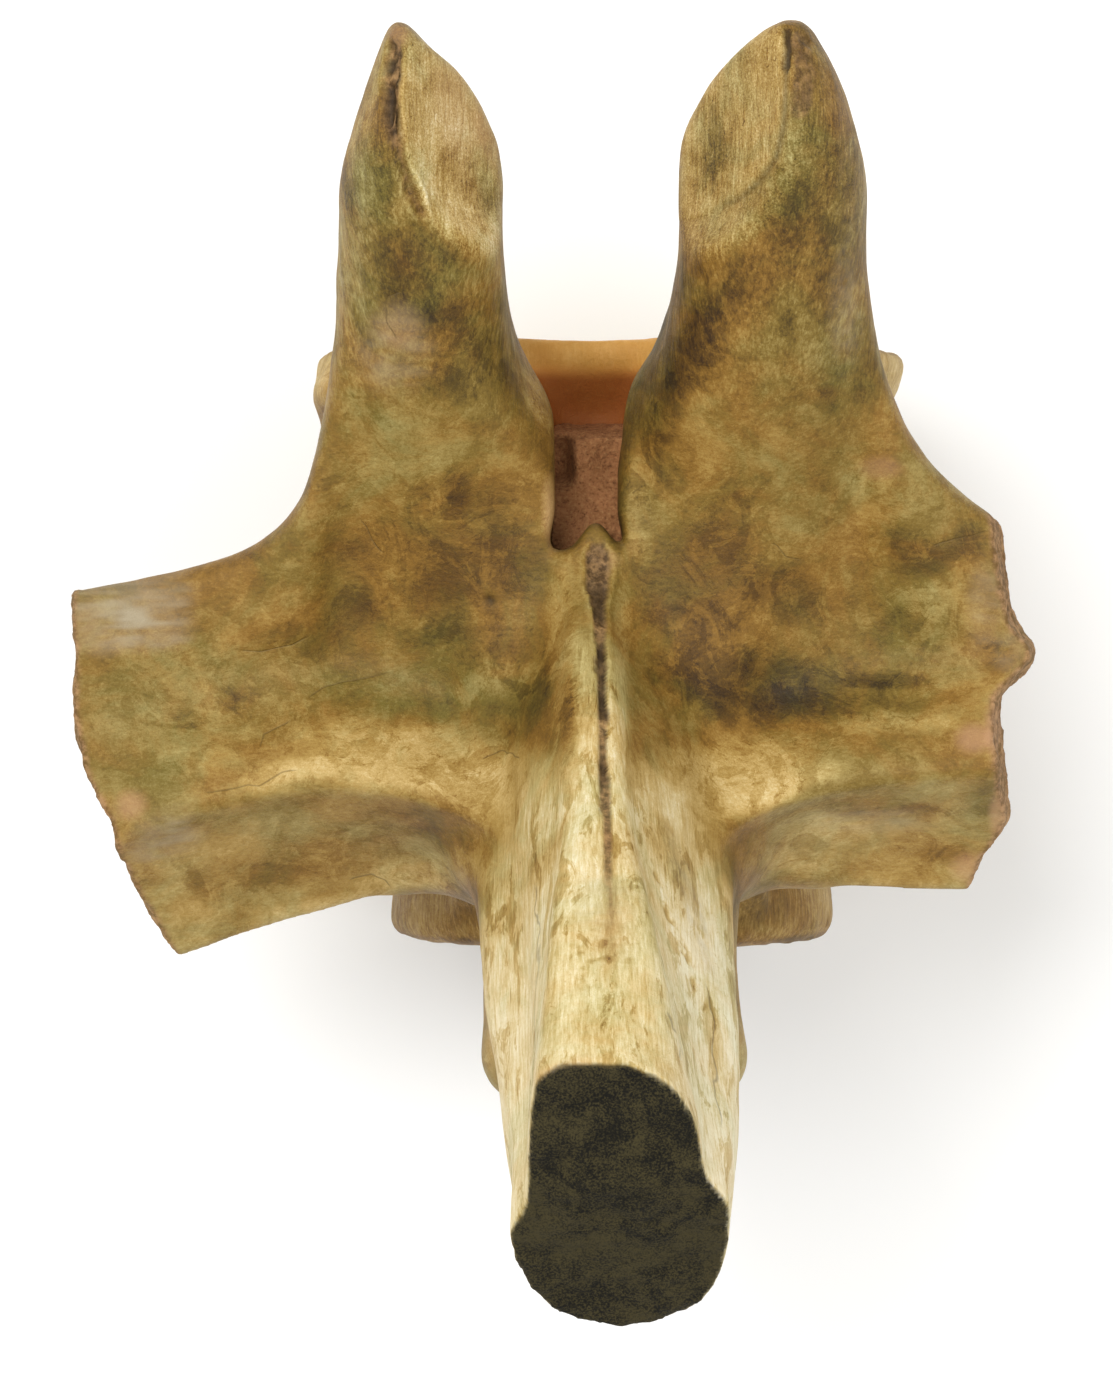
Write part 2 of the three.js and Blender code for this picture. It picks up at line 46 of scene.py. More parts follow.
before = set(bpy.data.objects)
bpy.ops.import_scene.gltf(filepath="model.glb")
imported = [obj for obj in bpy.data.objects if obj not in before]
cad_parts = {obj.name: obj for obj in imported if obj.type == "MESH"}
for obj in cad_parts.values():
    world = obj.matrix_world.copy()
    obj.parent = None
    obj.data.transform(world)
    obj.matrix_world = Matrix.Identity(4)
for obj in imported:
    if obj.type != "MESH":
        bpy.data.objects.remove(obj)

# A millimetre in the frame's metres. Everything below is in millimetres from the point on the floor
# under the middle of the centrum, X to the bone's right, Y to its front, Z up.
MM = 0.001
# Where that point lies in the frame
PLACE = np.array([9.9, 3.4, 0.0])

# The photograph's eye, millimetres, and its focal length in pixels of the 1113 x 1377 picture
EYE = (-10.0, -8.5, 1000.0)
FOCAL = 4525.0
PICTURE = (1113, 1377)


# ---------------------------------------------------------------- shaping helpers
def linear(colour):
    """sRGB hex, such as #c9a55c, to the linear values that Blender shades with."""
    parts = [int(colour[i:i + 2], 16) / 255 for i in (1, 3, 5)]
    return tuple(c / 12.92 if c <= 0.04045 else ((c + 0.055) / 1.055) ** 2.4 for c in parts)


def clamp(v, low=0.0, high=1.0):
    return np.minimum(np.maximum(v, low), high)


def ramp(v, start, end):
    """Smoothly from 0 at start to 1 at end."""
    t = clamp((v - start) / (end - start))
    return t * t * (3 - 2 * t)


def fade(v, start, end):
    """Smoothly from 1 at start to 0 at end."""
    return 1 - ramp(v, start, end)


def between(v, start, full, low, end):
    """Up from start to full, and down again from low to end."""
    return ramp(v, start, full) * fade(v, low, end)


def mix(a, b, t):
    return a + (b - a) * t


def join(a, b, k):
    """Union of two bodies with a fillet of about k."""
    h = clamp(0.5 + 0.5 * (b - a) / k)
    return mix(b, a, h) - k * h * (1 - h)


def cut(a, b, k):
    """What two bodies share, with an edge rounded by about k."""
    return -join(-a, -b, k)


def line(*pairs):
    """A smooth line through (position, value) pairs that never overshoots them."""
    at = np.array([p[0] for p in pairs], float)
    value = np.array([p[1] for p in pairs], float)
    slope = np.diff(value) / np.diff(at)
    lean = np.zeros_like(value)
    inner = slope[:-1] * slope[1:]
    lean[1:-1] = np.where(inner > 0, 2 * inner / (slope[:-1] + slope[1:] + 1e-12), 0)
    lean[0], lean[-1] = slope[0], slope[-1]
    fine = np.linspace(at[0], at[-1], 400)
    i = np.clip(np.searchsorted(at, fine, side="right") - 1, 0, len(at) - 2)
    span = at[i + 1] - at[i]
    t = (fine - at[i]) / span
    table = ((2 * t**3 - 3 * t**2 + 1) * value[i] + (t**3 - 2 * t**2 + t) * span * lean[i]
             + (3 * t**2 - 2 * t**3) * value[i + 1] + (t**3 - t**2) * span * lean[i + 1])
    return lambda v: np.interp(v, fine, table)


def oval(u, v, a, b, squareness):
    """A rounded box or oval in section with half sizes a and b."""
    n = squareness
    return (((np.abs(u) / a) ** n + (np.abs(v) / b) ** n) ** (1 / n) - 1) * np.minimum(a, b)


def ellipsoid(x, y, z, centre, size):
    u, v, w = x - centre[0], y - centre[1], z - centre[2]
    near = np.sqrt((u / size[0]) ** 2 + (v / size[1]) ** 2 + (w / size[2]) ** 2)
    steep = np.sqrt((u / size[0]**2) ** 2 + (v / size[1]**2) ** 2 + (w / size[2]**2) ** 2) + 1e-9
    return near * (near - 1) / steep


def capsule(x, y, z, start, end, start_radius, end_radius):
    along = np.subtract(end, start)
    u, v, w = x - start[0], y - start[1], z - start[2]
    h = clamp((u * along[0] + v * along[1] + w * along[2]) / along.dot(along))
    away = np.sqrt((u - h * along[0]) ** 2 + (v - h * along[1]) ** 2 + (w - h * along[2]) ** 2)
    return away - mix(start_radius, end_radius, h)


# Random lattices by seed, LATTICE points a side and repeated from there on
LATTICES = {}
LATTICE = 32


def noise(x, y, z, size, seed):
    """Smooth lumps about size millimetres across, from -1 to 1."""
    if seed not in LATTICES:
        drawn = np.random.default_rng(seed).uniform(-1, 1, LATTICE**3)
        LATTICES[seed] = drawn.astype(np.float32)
    lumps, last = LATTICES[seed], LATTICE - 1
    cell, part = [], []
    for v in (x, y, z):
        v = np.asarray(v, np.float32) / size + 1000.37
        whole = np.floor(v)
        v = v - whole
        cell.append(whole.astype(np.int32))
        part.append(v * v * (3 - 2 * v))
    total = 0
    for i in (0, 1):
        for j in (0, 1):
            row = (((cell[0] + i) & last) * LATTICE + ((cell[1] + j) & last)) * LATTICE
            low, high = lumps[row + (cell[2] & last)], lumps[row + ((cell[2] + 1) & last)]
            share = (part[0] if i else 1 - part[0]) * (part[1] if j else 1 - part[1])
            total = total + share * mix(low, high, part[2])
    return total


def rough(x, y, z, size, seed, layers=3, fall=0.5):
    """Noise in layers, each finer and weaker."""
    total, weight, reach = 0, 1.0, 0.0
    for i in range(layers):
        total = total + weight * noise(x, y, z, size / 2**i, seed + i)
        reach += weight
        weight *= fall
    return total / reach


# ---------------------------------------------------------------- the bone's form
HALF_LENGTH = 60.5
# Half width and top of the centrum's rear and front rim, and the lowest edge of both
RIM_HALF_WIDTH = (46.2, 61.8)
RIM_TOP = (101.5, 112.5)
RIM_BOTTOM = -3.6
# Its waist: how wide against the rims, its top and its underside
WAIST_SHARE, WAIST_TOP, WAIST_BOTTOM = 0.75, 96.0, 14.0
# Hollow ends: side, depth, height of the middle, radius
END_HOLLOWS = ((1, 11.0, 56.0, 110.0), (-1, 9.0, 50.0, 85.0))
# Swellings on the left of the front rim: middle and half sizes
RIM_KNOBS = (((-54.0, 51.5, 68.0), (6.0, 6.0, 22.0)), ((-51.6, 42.0, 63.0), (7.0, 8.0, 21.0)))


def centrum(x, y, z):
    """The spool of the centrum, with wide rims, a waist, hollow ends and a groove below."""
    t = clamp((y + HALF_LENGTH) / (2 * HALF_LENGTH))
    away = np.abs(2 * t - 1)
    flare = 0.35 * away**1.8 + 0.65 * ramp(away, 0.3, 0.94)
    half_width = mix(*RIM_HALF_WIDTH, t) * mix(WAIST_SHARE, 1.0, flare)
    top = mix(WAIST_TOP, mix(*RIM_TOP, t), flare)
    groove = 3.6 * (1 - flare) * np.exp(-(x / 9.0) ** 2)
    bottom = mix(WAIST_BOTTOM, RIM_BOTTOM, flare) + groove
    side = oval(x - mix(1.6, 1.3, t), z - (top + bottom) / 2, half_width, (top - bottom) / 2, 2.3)
    lip = mix(mix(5.0, 3.5, t), 5.5, ramp(z, 14, 40) * ramp(-y, 20, 40))
    body = cut(side, np.abs(y) - HALF_LENGTH, lip)
    for sign, depth, height, radius in END_HOLLOWS:
        middle = sign * (HALF_LENGTH + radius - depth)
        hollow = np.sqrt(x**2 + (y - middle) ** 2 + (z - height) ** 2) - radius
        body = cut(body, -hollow, 5.0)
    for place, size in RIM_KNOBS:
        body = join(body, ellipsoid(x, y, z, place, size), 4.0)
    return body


def arch(x, y, z):
    """The walls beside the neural canal, between the centrum and the wings."""
    walls = cut(np.abs(x) - 26, np.abs(y + 8) - 40, 14)
    return cut(walls, cut(z - 136, 88 - z, 8), 10)


# The front prongs, left and right: outer and inner edge against Y, and the ridge beside the face
PRONGS = {
    -1: {
        "outer": line((-10, 40), (20, 46), (52, 51.6), (83, 50.4), (100, 45.8), (114.5, 40.2)),
        "inner": line((-10, 4), (35, 10), (54, 17.4), (75, 19.7), (86, 20.2), (92, 21.0),
                      (97.7, 23.2), (102, 25.6), (105.5, 28.4), (109, 33.0), (114.5, 38)),
        "ridge": 37.0,
    },
    1: {
        "outer": line((-10, 40), (20, 43), (52, 48.3), (83, 47.8), (100, 43.8), (114.5, 35.6)),
        "inner": line((-10, 4), (27, 5.6), (40, 6.6), (61, 11.2), (75, 13.2), (92, 13.6),
                      (103, 18.4), (114.5, 31)),
        "ridge": 31.5,
    },
}
PRONG_HEIGHT = line((-10, 110), (20, 120), (60, 141), (90, 155), (114.5, 166))
PRONG_HALF_DEPTH = line((-10, 14), (20, 20), (60, 24), (90, 26), (104, 20), (114.5, 9))
PRONG_TIP = 114.4


def facet_plane(x, y, z, side):
    """The joint face of a prong, which looks inwards and up: positive beyond it."""
    back = 9.0 * fade(y, 58, 84)
    return (side * x - PRONGS[side]["ridge"]) * -0.82 + (z - 180.0) * 0.57 - back


def prong(x, y, z, side):
    outer, inner = PRONGS[side]["outer"](y), PRONGS[side]["inner"](y)
    body = oval(side * x - (outer + inner) / 2, z - PRONG_HEIGHT(y), (outer - inner) / 2 + 0.2,
                PRONG_HALF_DEPTH(y), 2.4)
    body = cut(body, np.maximum(y - PRONG_TIP, -12 - y), 3.0)
    return cut(body, facet_plane(x, y, z, side), 1.4)


# The wings, left and right: front edge, rear edge and crest against the distance from the middle,
# and the broken end against Y
WINGS = {
    -1: {
        "front": line((20, 50), (36, 53), (44, 58), (51, 47), (58.7, 27.3), (68, 19), (78, 15.3),
                      (101, 10.4)),
        "rear": line((20, -46), (43, -49.2), (52, -51.6), (66, -55.4), (84, -61.6), (101, -66.4)),
        "ridge": line((20, -34), (53, -27), (72, -30), (101, -40)),
        "end": line((-66, 80.3), (-60, 82.8), (-46, 90), (-35, 93.2), (-24, 99), (-10, 101.2),
                    (9, 101.2)),
    },
    1: {
        "front": line((20, 50), (38, 53), (46, 58), (51.5, 48), (57.2, 39.2), (66.7, 29.8),
                      (81, 20)),
        "rear": line((20, -46), (45, -47.8), (81, -49)),
        "ridge": line((20, -36), (32, -31), (51.5, -26.3), (81, -24)),
        "end": line((-49, 68), (-41, 71.4), (-33, 76), (-24, 75.2), (-11, 74), (-2, 80.6),
                    (4.5, 76.8), (24, 74)),
    },
}
WING_BASIN = line((0, 124), (30, 124), (60, 128), (101, 136))
WING_CREST = line((0, 150), (26, 146), (45, 142), (75, 143), (101, 146))
WING_LOW = line((20, 84), (45, 97), (70, 108), (101, 119))
WING_THICK = line((20, 30), (50, 22), (75, 15), (101, 14))
# Drop from the crest to the rear edge; lean of each broken end, and the height it turns about
WING_DROP = 26.0
WING_END_LEAN = {-1: (0.06, 138.0), 1: (0.16, 127.0)}


def wing_end(x, y, z, side):
    """Distance beyond the ragged break at a wing's end."""
    ragged = 1.7 * rough(x, y, z, 11, 31) + 0.5 * noise(x, y, z, 3.2, 37)
    lean, level = WING_END_LEAN[side]
    lean = lean * (z - level)
    return (side * x - WINGS[side]["end"](y) - 0.8 + 0.55 * ragged + lean) * 0.97


def wing(x, y, z, side):
    m, form = side * x, WINGS[side]
    front, rear, ridge = form["front"](m), form["rear"](m), form["ridge"](m)
    basin, crest, low = WING_BASIN(m), WING_CREST(m), WING_LOW(m)
    ahead = (y - ridge) / (front - ridge)
    shoulder = 13.0 * np.exp(-(((m - 50) / 16.0) ** 2))
    top = basin + (crest - basin) * fade(y - ridge, 0, 26)
    top = top + (5 + shoulder) * ramp(ahead, 0.25, 1.0)
    run = ridge - rear
    slope = ((ridge - y) * WING_DROP - (crest - z) * run) / np.sqrt(WING_DROP**2 + run**2)
    slope = slope + 2.0 * np.sin(np.pi * clamp((ridge - y) / run))
    share = (y - rear) / (front - rear)
    under = mix(mix(low, crest - WING_DROP - 1.5, ramp(m, 24, 48)), low, ramp(share, 0.0, 0.32))
    under = mix(under, top - WING_THICK(m), ramp(share, 0.5, 1.0))
    body = cut((z - top) * 0.92, (under - z) * 0.9, 7.0)
    body = cut(body, slope, 1.8)
    body = cut(body, y - front, 6.0)
    body = cut(body, rear - y - 0.5, 3.0)
    body = cut(body, wing_end(x, y, z, side), 0.8)
    return np.maximum(body, 8 - m)


# The spine against height: its rear edge, the middle of its front and rear, and the half widths of
# its front blade, of the groove behind that and of the thick rear
SPINE_REAR = line((130, -52), (150, -62), (175, -87), (205, -124), (236, -150))
SPINE_FRONT_X = line((140, -3.8), (160, -3.4), (203, -2.2), (230, -0.8), (236, 0.2))
SPINE_REAR_X = line((140, -1.0), (165, -0.5), (190, 1.5), (203, 1.8), (216, 0.9))
BLADE_HALF = line((130, 3.2), (145, 4.0), (159, 5.0), (186, 6.0), (203, 8.4), (230, 13.2),
                  (236, 15.0))
GROOVE_HALF = line((130, 17), (160, 14.5), (190, 14.5), (236, 15.6))
LAMINA_HALF = line((130, 27), (160, 24.6), (185, 21.8), (205, 19.6), (236, 18.5))
SPINE_LEAN = 0.72


def spine_front(z):
    return 18.0 - 0.91 * (z - 136.0)


def spine_break(x, y, z):
    """Distance beyond the spine's broken end, which has a higher front and a lower rear part."""
    grain = 2.4 * rough(x, y, z, 17, 41, 4) + 0.4 * noise(x, y, z, 2.6, 45)
    ahead = (y + 73.0) * -0.46 + (z - 236.0) * 0.89
    behind = (y + 98.0) * -0.62 + (z - 222.0) * 0.785
    return np.maximum(ahead, behind) + 0.7 * grain + 0.25


def spine(x, y, z):
    front = spine_front(z)
    groove = 6.0 * np.exp(-(((x - 0.5) / 6.5) ** 2))
    rear = SPINE_REAR(z) + groove * fade(z, 165, 198)
    back = clamp((front - y) / np.maximum(front - rear, 1))
    up = ramp(z, 150, 215)
    back = back + 0.0035 * (x - 1) * ramp(z, 190, 225)
    middle = mix(SPINE_FRONT_X(z), SPINE_REAR_X(z), ramp(back, 0.1, 0.6))
    half = mix(BLADE_HALF(z), GROOVE_HALF(z), ramp(back, 0.0, 0.42))
    half = mix(half, LAMINA_HALF(z), ramp(back, mix(0.30, 0.38, up), mix(0.85, 0.56, up)))
    corner = mix(4.0, mix(8.0, 15.0, ramp(x - middle, -6, 6)), ramp(z, 205, 234))
    heel = mix(17.0, 26.0, ramp(z, 190, 215))
    body = cut((np.abs(x - middle) - half) * 0.85, (y - front) * SPINE_LEAN, corner)
    body = cut(body, (rear - y) * SPINE_LEAN, heel)
    body = cut(body, spine_break(x, y, z), 1.0)
    return cut(body, 116 - z, 4)


# How far the rear joint processes stand from the middle, below and above
PILLAR_MIDDLE = {-1: (14.0, 15.4), 1: (14.2, 17.0)}


def rear_pillar(x, y, z, side):
    """A rear joint process beside the spine, with its face looking down and out."""
    m = side * x
    low, high = PILLAR_MIDDLE[side]
    body = capsule(m, y, z, (low, -57.0, 138.0), (high, -77.0, 158.0), 8.6, 8.4)
    return cut(body, (m - 25.2) * 0.7 + (135.5 - z) * 0.7, 2.0)


# Half width of the slot between the prongs against Y
SLOT_HALF = line((15, 6.8), (20, 7.0), (26, 6.1), (43, 6.4), (60, 12.9), (78, 15.2), (90, 14.0),
                 (125, 14.0))


def bone(x, y, z):
    """The whole bone: negative inside, about millimetres of distance near its surface."""
    wings = join(wing(x, y, z, -1), wing(x, y, z, 1), 6)
    for side in (-1, 1):
        wings = join(wings, prong(x, y, z, side), 18)
    body = join(centrum(x, y, z), arch(x, y, z), 9)
    body = join(body, wings, 9)
    body = join(body, spine(x, y, z), 10)
    for side in (-1, 1):
        body = join(body, rear_pillar(x, y, z, side), 9)
    tongue = 5.6 * np.exp(-(((x + 2.5) / 3.5) ** 2))
    slot = cut((np.abs(x + 4.3) - SLOT_HALF(y)) * 0.95, 17.6 + tongue - y, 2.5)
    mouth = ramp(y, 45, 58)
    slot = cut(slot, 103.5 + 7.5 * mouth - z, 4)
    body = cut(body, -slot, 2.5)
    canal = oval(x + 2.4, z - 112.0 - 9.5 * mouth, 9.5, 10.5, 2.0)
    return cut(body, -canal, 2.5)


def standing_bone(x, y, z):
    """The bone with the flats that it stands on."""
    return np.maximum(bone(x, y, z), -z)


def canal_stone(x, y, z):
    """Sandstone in the canal, from the root of the blade to the rear mouth."""
    swell = 1.2 * np.sin(y * 0.31) * np.cos(x * 0.4) + 0.9 * rough(x, y, z, 5, 51)
    pit = 9 * np.exp(-(((x + 9.5) / 2.6) ** 4) - ((y - 36.5) / 5.0) ** 4)
    top = 119 + 3 * ramp(y, 34, 18) + swell - pit
    ends = np.maximum(y - 43.5 + 0.25 * (z - 105) + 0.8 * noise(x, y, z, 4, 55), -44 - y)
    body = np.maximum(np.maximum(np.abs(x + 4.0) - 13, 99 - z), z - top)
    return cut(cut(body, ends, 2), 0.1 - bone(x, y, z), 0.4)


# ---------------------------------------------------------------- net over a form
CORNERS = np.array([[i, j, k] for i in (0, 1) for j in (0, 1) for k in (0, 1)])
# How many places the form is worked out for at once
BATCH = 200000
EDGES = [(a, b) for a in range(8) for b in range(a + 1, 8)
         if np.abs(CORNERS[a] - CORNERS[b]).sum() == 1]


def cell_key(cells):
    """One number for each cell's place in the net."""
    return (cells[..., 0].astype(np.int64) << 40) | (cells[..., 1] << 20) | cells[..., 2]


def corner_values(form, cells, low, step):
    """Values of the form at the eight corners of each cell, worked out once per corner."""
    keys = cell_key(cells[:, None, :] + CORNERS[None])
    unique, back = np.unique(keys.ravel(), return_inverse=True)
    at = np.stack([unique >> 40, (unique >> 20) & 0xFFFFF, unique & 0xFFFFF], -1) * step + low
    values = np.empty(len(at))
    for i in range(0, len(at), BATCH):
        values[i:i + BATCH] = form(*at[i:i + BATCH].T)
    return values[back].reshape(-1, 8)


def net_over(form, low, high, step, halvings, reach=1.6):
    """Points and four-sided faces of the form's surface, about step / 2**halvings apart."""
    low = np.array(low, float)
    count = np.ceil((np.array(high) - low) / step).astype(int)
    cells = np.stack(np.meshgrid(*[np.arange(c) for c in count], indexing="ij"), -1).reshape(-1, 3)
    for level in range(halvings):
        values = corner_values(form, cells, low, step)
        slack = step * (1.05 if level < halvings - 1 else 0.3) + (reach if level < 2 else 0)
        crosses = (values.min(1) < 0) & (values.max(1) > 0)
        near = crosses | (np.abs(values).min(1) < slack)
        cells = (cells[near][:, None, :] * 2 + CORNERS[None]).reshape(-1, 3)
        step = step / 2
    values = corner_values(form, cells, low, step)
    kept = (values.min(1) < 0) & (values.max(1) >= 0)
    cells, values = cells[kept], values[kept]
    key = cell_key(cells)
    order = np.argsort(key)
    cells, values, key = cells[order], values[order], key[order]
    total, hits = np.zeros((len(cells), 3)), np.zeros(len(cells))
    for a, b in EDGES:
        crosses = (values[:, a] < 0) != (values[:, b] < 0)
        t = values[crosses, a] / (values[crosses, a] - values[crosses, b])
        total[crosses] += mix(CORNERS[a][None], CORNERS[b][None], t[:, None])
        hits[crosses] += 1
    points = (cells + total / hits[:, None]) * step + low
    faces = []
    for axis in range(3):
        side, other = (axis + 1) % 3, (axis + 2) % 3
        far = int(np.flatnonzero((CORNERS == np.eye(3, dtype=int)[axis]).all(1))[0])
        rows = np.flatnonzero((values[:, 0] < 0) != (values[:, far] < 0))
        ring = []
        for shift_side, shift_other in ((0, 0), (1, 0), (1, 1), (0, 1)):
            shift = np.zeros(3, int)
            shift[side], shift[other] = shift_side, shift_other
            wanted = cell_key(cells[rows] - shift)
            found = np.minimum(np.searchsorted(key, wanted), len(key) - 1)
            ring.append(np.where(key[found] == wanted, found, -1))
        quad = np.stack(ring, -1)
        outward = values[rows, 0] < 0
        quad[~outward] = quad[~outward][:, ::-1]
        faces.append(quad[(quad >= 0).all(1)])
    return points, np.concatenate(faces)


def smooth_normals(points, faces):
    """The direction outwards at each point."""
    face = np.cross(points[faces[:, 2]] - points[faces[:, 0]],
                    points[faces[:, 3]] - points[faces[:, 1]])
    total = np.stack([sum(np.bincount(faces[:, c], face[:, a], len(points)) for c in range(4))
                      for a in range(3)], -1)
    return total / (np.linalg.norm(total, axis=1, keepdims=True) + 1e-12)


def relaxed(values, faces, rounds, share=0.5):
    """Values or places evened out between neighbours."""
    near = np.concatenate([faces[:, [i, (i + 1) % 4]] for i in range(4)])
    count = np.bincount(near[:, 0], minlength=len(values)) + 1e-9
    flat = values.reshape(len(values), -1).astype(float)
    for _ in range(rounds):
        mean = np.stack([np.bincount(near[:, 0], flat[near[:, 1], a], len(values)) / count
                         for a in range(flat.shape[1])], -1)
        flat = mix(flat, mean, share)
    return flat.reshape(values.shape)


def make_mesh(name, points, faces, marks):
    """A smooth mesh in the frame, in metres, with one named number per point for each mark."""
    mesh = bpy.data.meshes.new(name)
    mesh.vertices.add(len(points))
    mesh.vertices.foreach_set("co", ((points + PLACE) * MM).astype(np.float32).ravel())
    mesh.loops.add(faces.size)
    mesh.loops.foreach_set("vertex_index", faces.astype(np.int32).ravel())
    mesh.polygons.add(len(faces))
    mesh.polygons.foreach_set("loop_start", np.arange(0, faces.size, 4, dtype=np.int32))
    mesh.polygons.foreach_set("use_smooth", np.ones(len(faces), bool))
    mesh.update(calc_edges=True)
    for key, values in marks.items():
        layer = mesh.attributes.new(key, "FLOAT", "POINT")
        layer.data.foreach_set("value", np.asarray(values, np.float32))
    made = bpy.data.objects.new(name, mesh)
    bpy.context.scene.collection.objects.link(made)
    return made


# ---------------------------------------------------------------- marks on the bone
def in_picture(p):
    """Where points show in the photograph, in its pixels, and its pixels per millimetre there."""
    scale = FOCAL / (EYE[2] - p[:, 2])
    return (PICTURE[0] / 2 + scale * (p[:, 0] - EYE[0]),
            PICTURE[1] / 2 - scale * (p[:, 1] - EYE[1]), scale)


def along_path(u, v, path):
    """Signed distance to a path, in pixels, and how far along it, from 0 to 1."""
    path = np.array(path, float)
    lengths = np.hypot(*np.diff(path, axis=0).T)
    whole, done = lengths.sum(), 0.0
    best, side, share = np.full(len(u), 1e9), np.ones(len(u)), np.zeros(len(u))
    for (a, b), length in zip(zip(path[:-1], path[1:]), lengths):
        way = (b - a) / length
        t = np.clip((u - a[0]) * way[0] + (v - a[1]) * way[1], 0, length)
        du, dv = u - a[0] - way[0] * t, v - a[1] - way[1] * t
        away = np.hypot(du, dv)
        nearer = away < best
        best = np.where(nearer, away, best)
        side = np.where(nearer, np.sign(way[0] * dv - way[1] * du), side)
        share = np.where(nearer, (done + t) / whole, share)
        done += length
    return best * side, share


# Soft patches seen from above, in pixels of the photograph: centre, half sizes, turn, strength
# brown stains, with painted shade in the wings' basins and under their crests
BROWN_AND_SHADE = [
    (465, 545, 105, 70, 10, 0.10), (545, 705, 55, 45, 20, 0.16), (470, 640, 70, 30, 5, 0.08),
    (350, 836, 95, 12, -4, 0.06), (262, 868, 95, 24, -8, 0.12),
    (188, 720, 16, 12, 0, 0.14), (240, 700, 22, 20, 0, 0.08), (300, 640, 50, 30, 0, 0.07),
    (750, 690, 100, 36, 4, 0.13), (705, 650, 45, 60, 10, 0.10), (800, 668, 50, 26, 0, 0.07),
    (890, 680, 45, 9, 0, 0.16), (720, 555, 50, 90, 25, 0.12), (780, 590, 60, 30, 20, 0.10),
    (860, 700, 80, 22, 0, 0.06), (968, 545, 20, 26, 20, 0.12), (925, 560, 35, 14, -15, 0.05),
    (462, 168, 28, 24, 20, 0.16), (480, 200, 18, 30, 0, 0.10), (716, 150, 20, 48, -12, 0.14),
    (700, 175, 18, 22, 0, 0.12), (349, 185, 9, 45, -8, 0.22), (425, 290, 40, 70, -15, 0.12),
    (470, 370, 45, 50, -20, 0.12), (840, 220, 28, 100, 0, 0.06), (790, 240, 22, 90, 20, 0.08),
    (700, 345, 26, 75, 28, 0.16), (665, 420, 18, 60, 15, 0.12), (640, 500, 16, 60, 8, 0.05),
    (820, 400, 18, 16, 0, 0.10), (788, 325, 10, 26, 0, 0.12), (455, 490, 14, 22, 0, 0.12),
    (600, 1032, 30, 12, 0, 0.05), (545, 860, 14, 40, 28, 0.18),
    (668, 850, 16, 46, -24, 0.22), (712, 1030, 8, 50, -6, 0.16), (496, 900, 10, 50, -6, 0.04),
    (930, 850, 50, 14, 6, 0.12), (900, 810, 70, 10, 2, 0.10), (985, 800, 14, 24, 0, 0.08),
    (925, 610, 60, 50, 0, 0.07), (1000, 655, 22, 18, -20, 0.14), (905, 540, 60, 20, 15, 0.06),
    (330, 470, 30, 60, 0, 0.06), (380, 600, 60, 26, 0, 0.08), (150, 880, 16, 10, 0, 0.14),
]
# bleached patches, with painted light on the wings' crests and on the slope behind them
CREAM_AND_LIGHT = [
    (425, 765, 130, 38, 6, 0.32), (230, 690, 120, 60, 0, 0.03), (300, 772, 60, 18, -14, 0.16),
    (480, 800, 50, 34, 20, 0.14),
    (725, 778, 100, 42, -8, 0.34), (660, 830, 34, 60, -20, 0.10), (780, 790, 60, 12, -20, 0.18),
    (880, 722, 70, 12, 0, 0.14), (940, 790, 40, 8, 0, 0.06), (480, 690, 30, 14, 0, 0.10),
    (568, 690, 18, 150, -3, 0.28), (618, 680, 10, 130, 3, 0.20), (510, 680, 36, 26, 0, 0.12),
    (505, 260, 24, 60, -25, 0.16), (540, 400, 14, 60, -18, 0.20), (640, 480, 14, 70, 10, 0.18),
    (450, 150, 26, 60, -8, 0.10), (370, 90, 10, 60, 14, 0.10), (400, 215, 12, 18, 0, 0.10),
    (560, 530, 26, 16, 0, 0.18), (640, 545, 16, 20, 0, 0.18), (300, 770, 120, 10, -16, 0.08),
    (330, 905, 70, 10, -12, 0.12), (430, 872, 90, 20, -6, 0.20), (820, 830, 50, 20, 0, 0.14),
    (800, 860, 50, 14, 0, 0.14), (930, 600, 40, 20, 0, 0.08), (860, 480, 30, 20, 0, 0.08),
    (370, 420, 30, 60, -8, 0.06), (210, 760, 50, 18, 0, 0.06), (350, 250, 24, 130, 0, 0.10),
    (848, 250, 20, 120, 0, 0.07), (550, 515, 9, 36, 0, 0.25),
]
OLIVE = [
    (390, 690, 90, 26, 8, 0.9), (150, 730, 60, 70, 0, 0.7), (440, 640, 60, 40, 0, 0.5),
    (370, 230, 26, 110, 0, 0.9), (640, 360, 40, 90, 20, 0.8), (740, 690, 110, 40, 0, 0.4),
    (800, 150, 26, 110, 8, 0.9), (350, 440, 60, 60, 0, 0.6), (920, 620, 60, 60, 0, 0.6),
    (440, 290, 40, 60, 0, 0.6), (850, 380, 30, 120, 0, 0.7), (960, 800, 50, 30, 0, 0.5),
    (800, 450, 60, 60, 0, 0.4), (200, 660, 60, 30, 0, 0.6), (480, 710, 70, 40, 0, 0.6),
    (290, 890, 60, 14, -8, 0.4),
]
VIOLET = [
    (130, 600, 85, 24, -6, 0.8), (232, 572, 30, 14, -38, 0.9), (140, 632, 75, 20, -6, 1.0),
    (165, 838, 40, 24, -20, 0.8), (985, 605, 20, 45, 0, 0.6), (870, 820, 60, 14, 0, 0.5),
    (690, 900, 10, 90, -16, 0.5), (600, 900, 30, 50, 0, 0.3), (100, 615, 50, 16, 0, 0.3),
    (845, 310, 16, 60, 0, 0.4), (395, 350, 40, 40, 0, 0.5), (1010, 650, 18, 20, 0, 0.5),
]
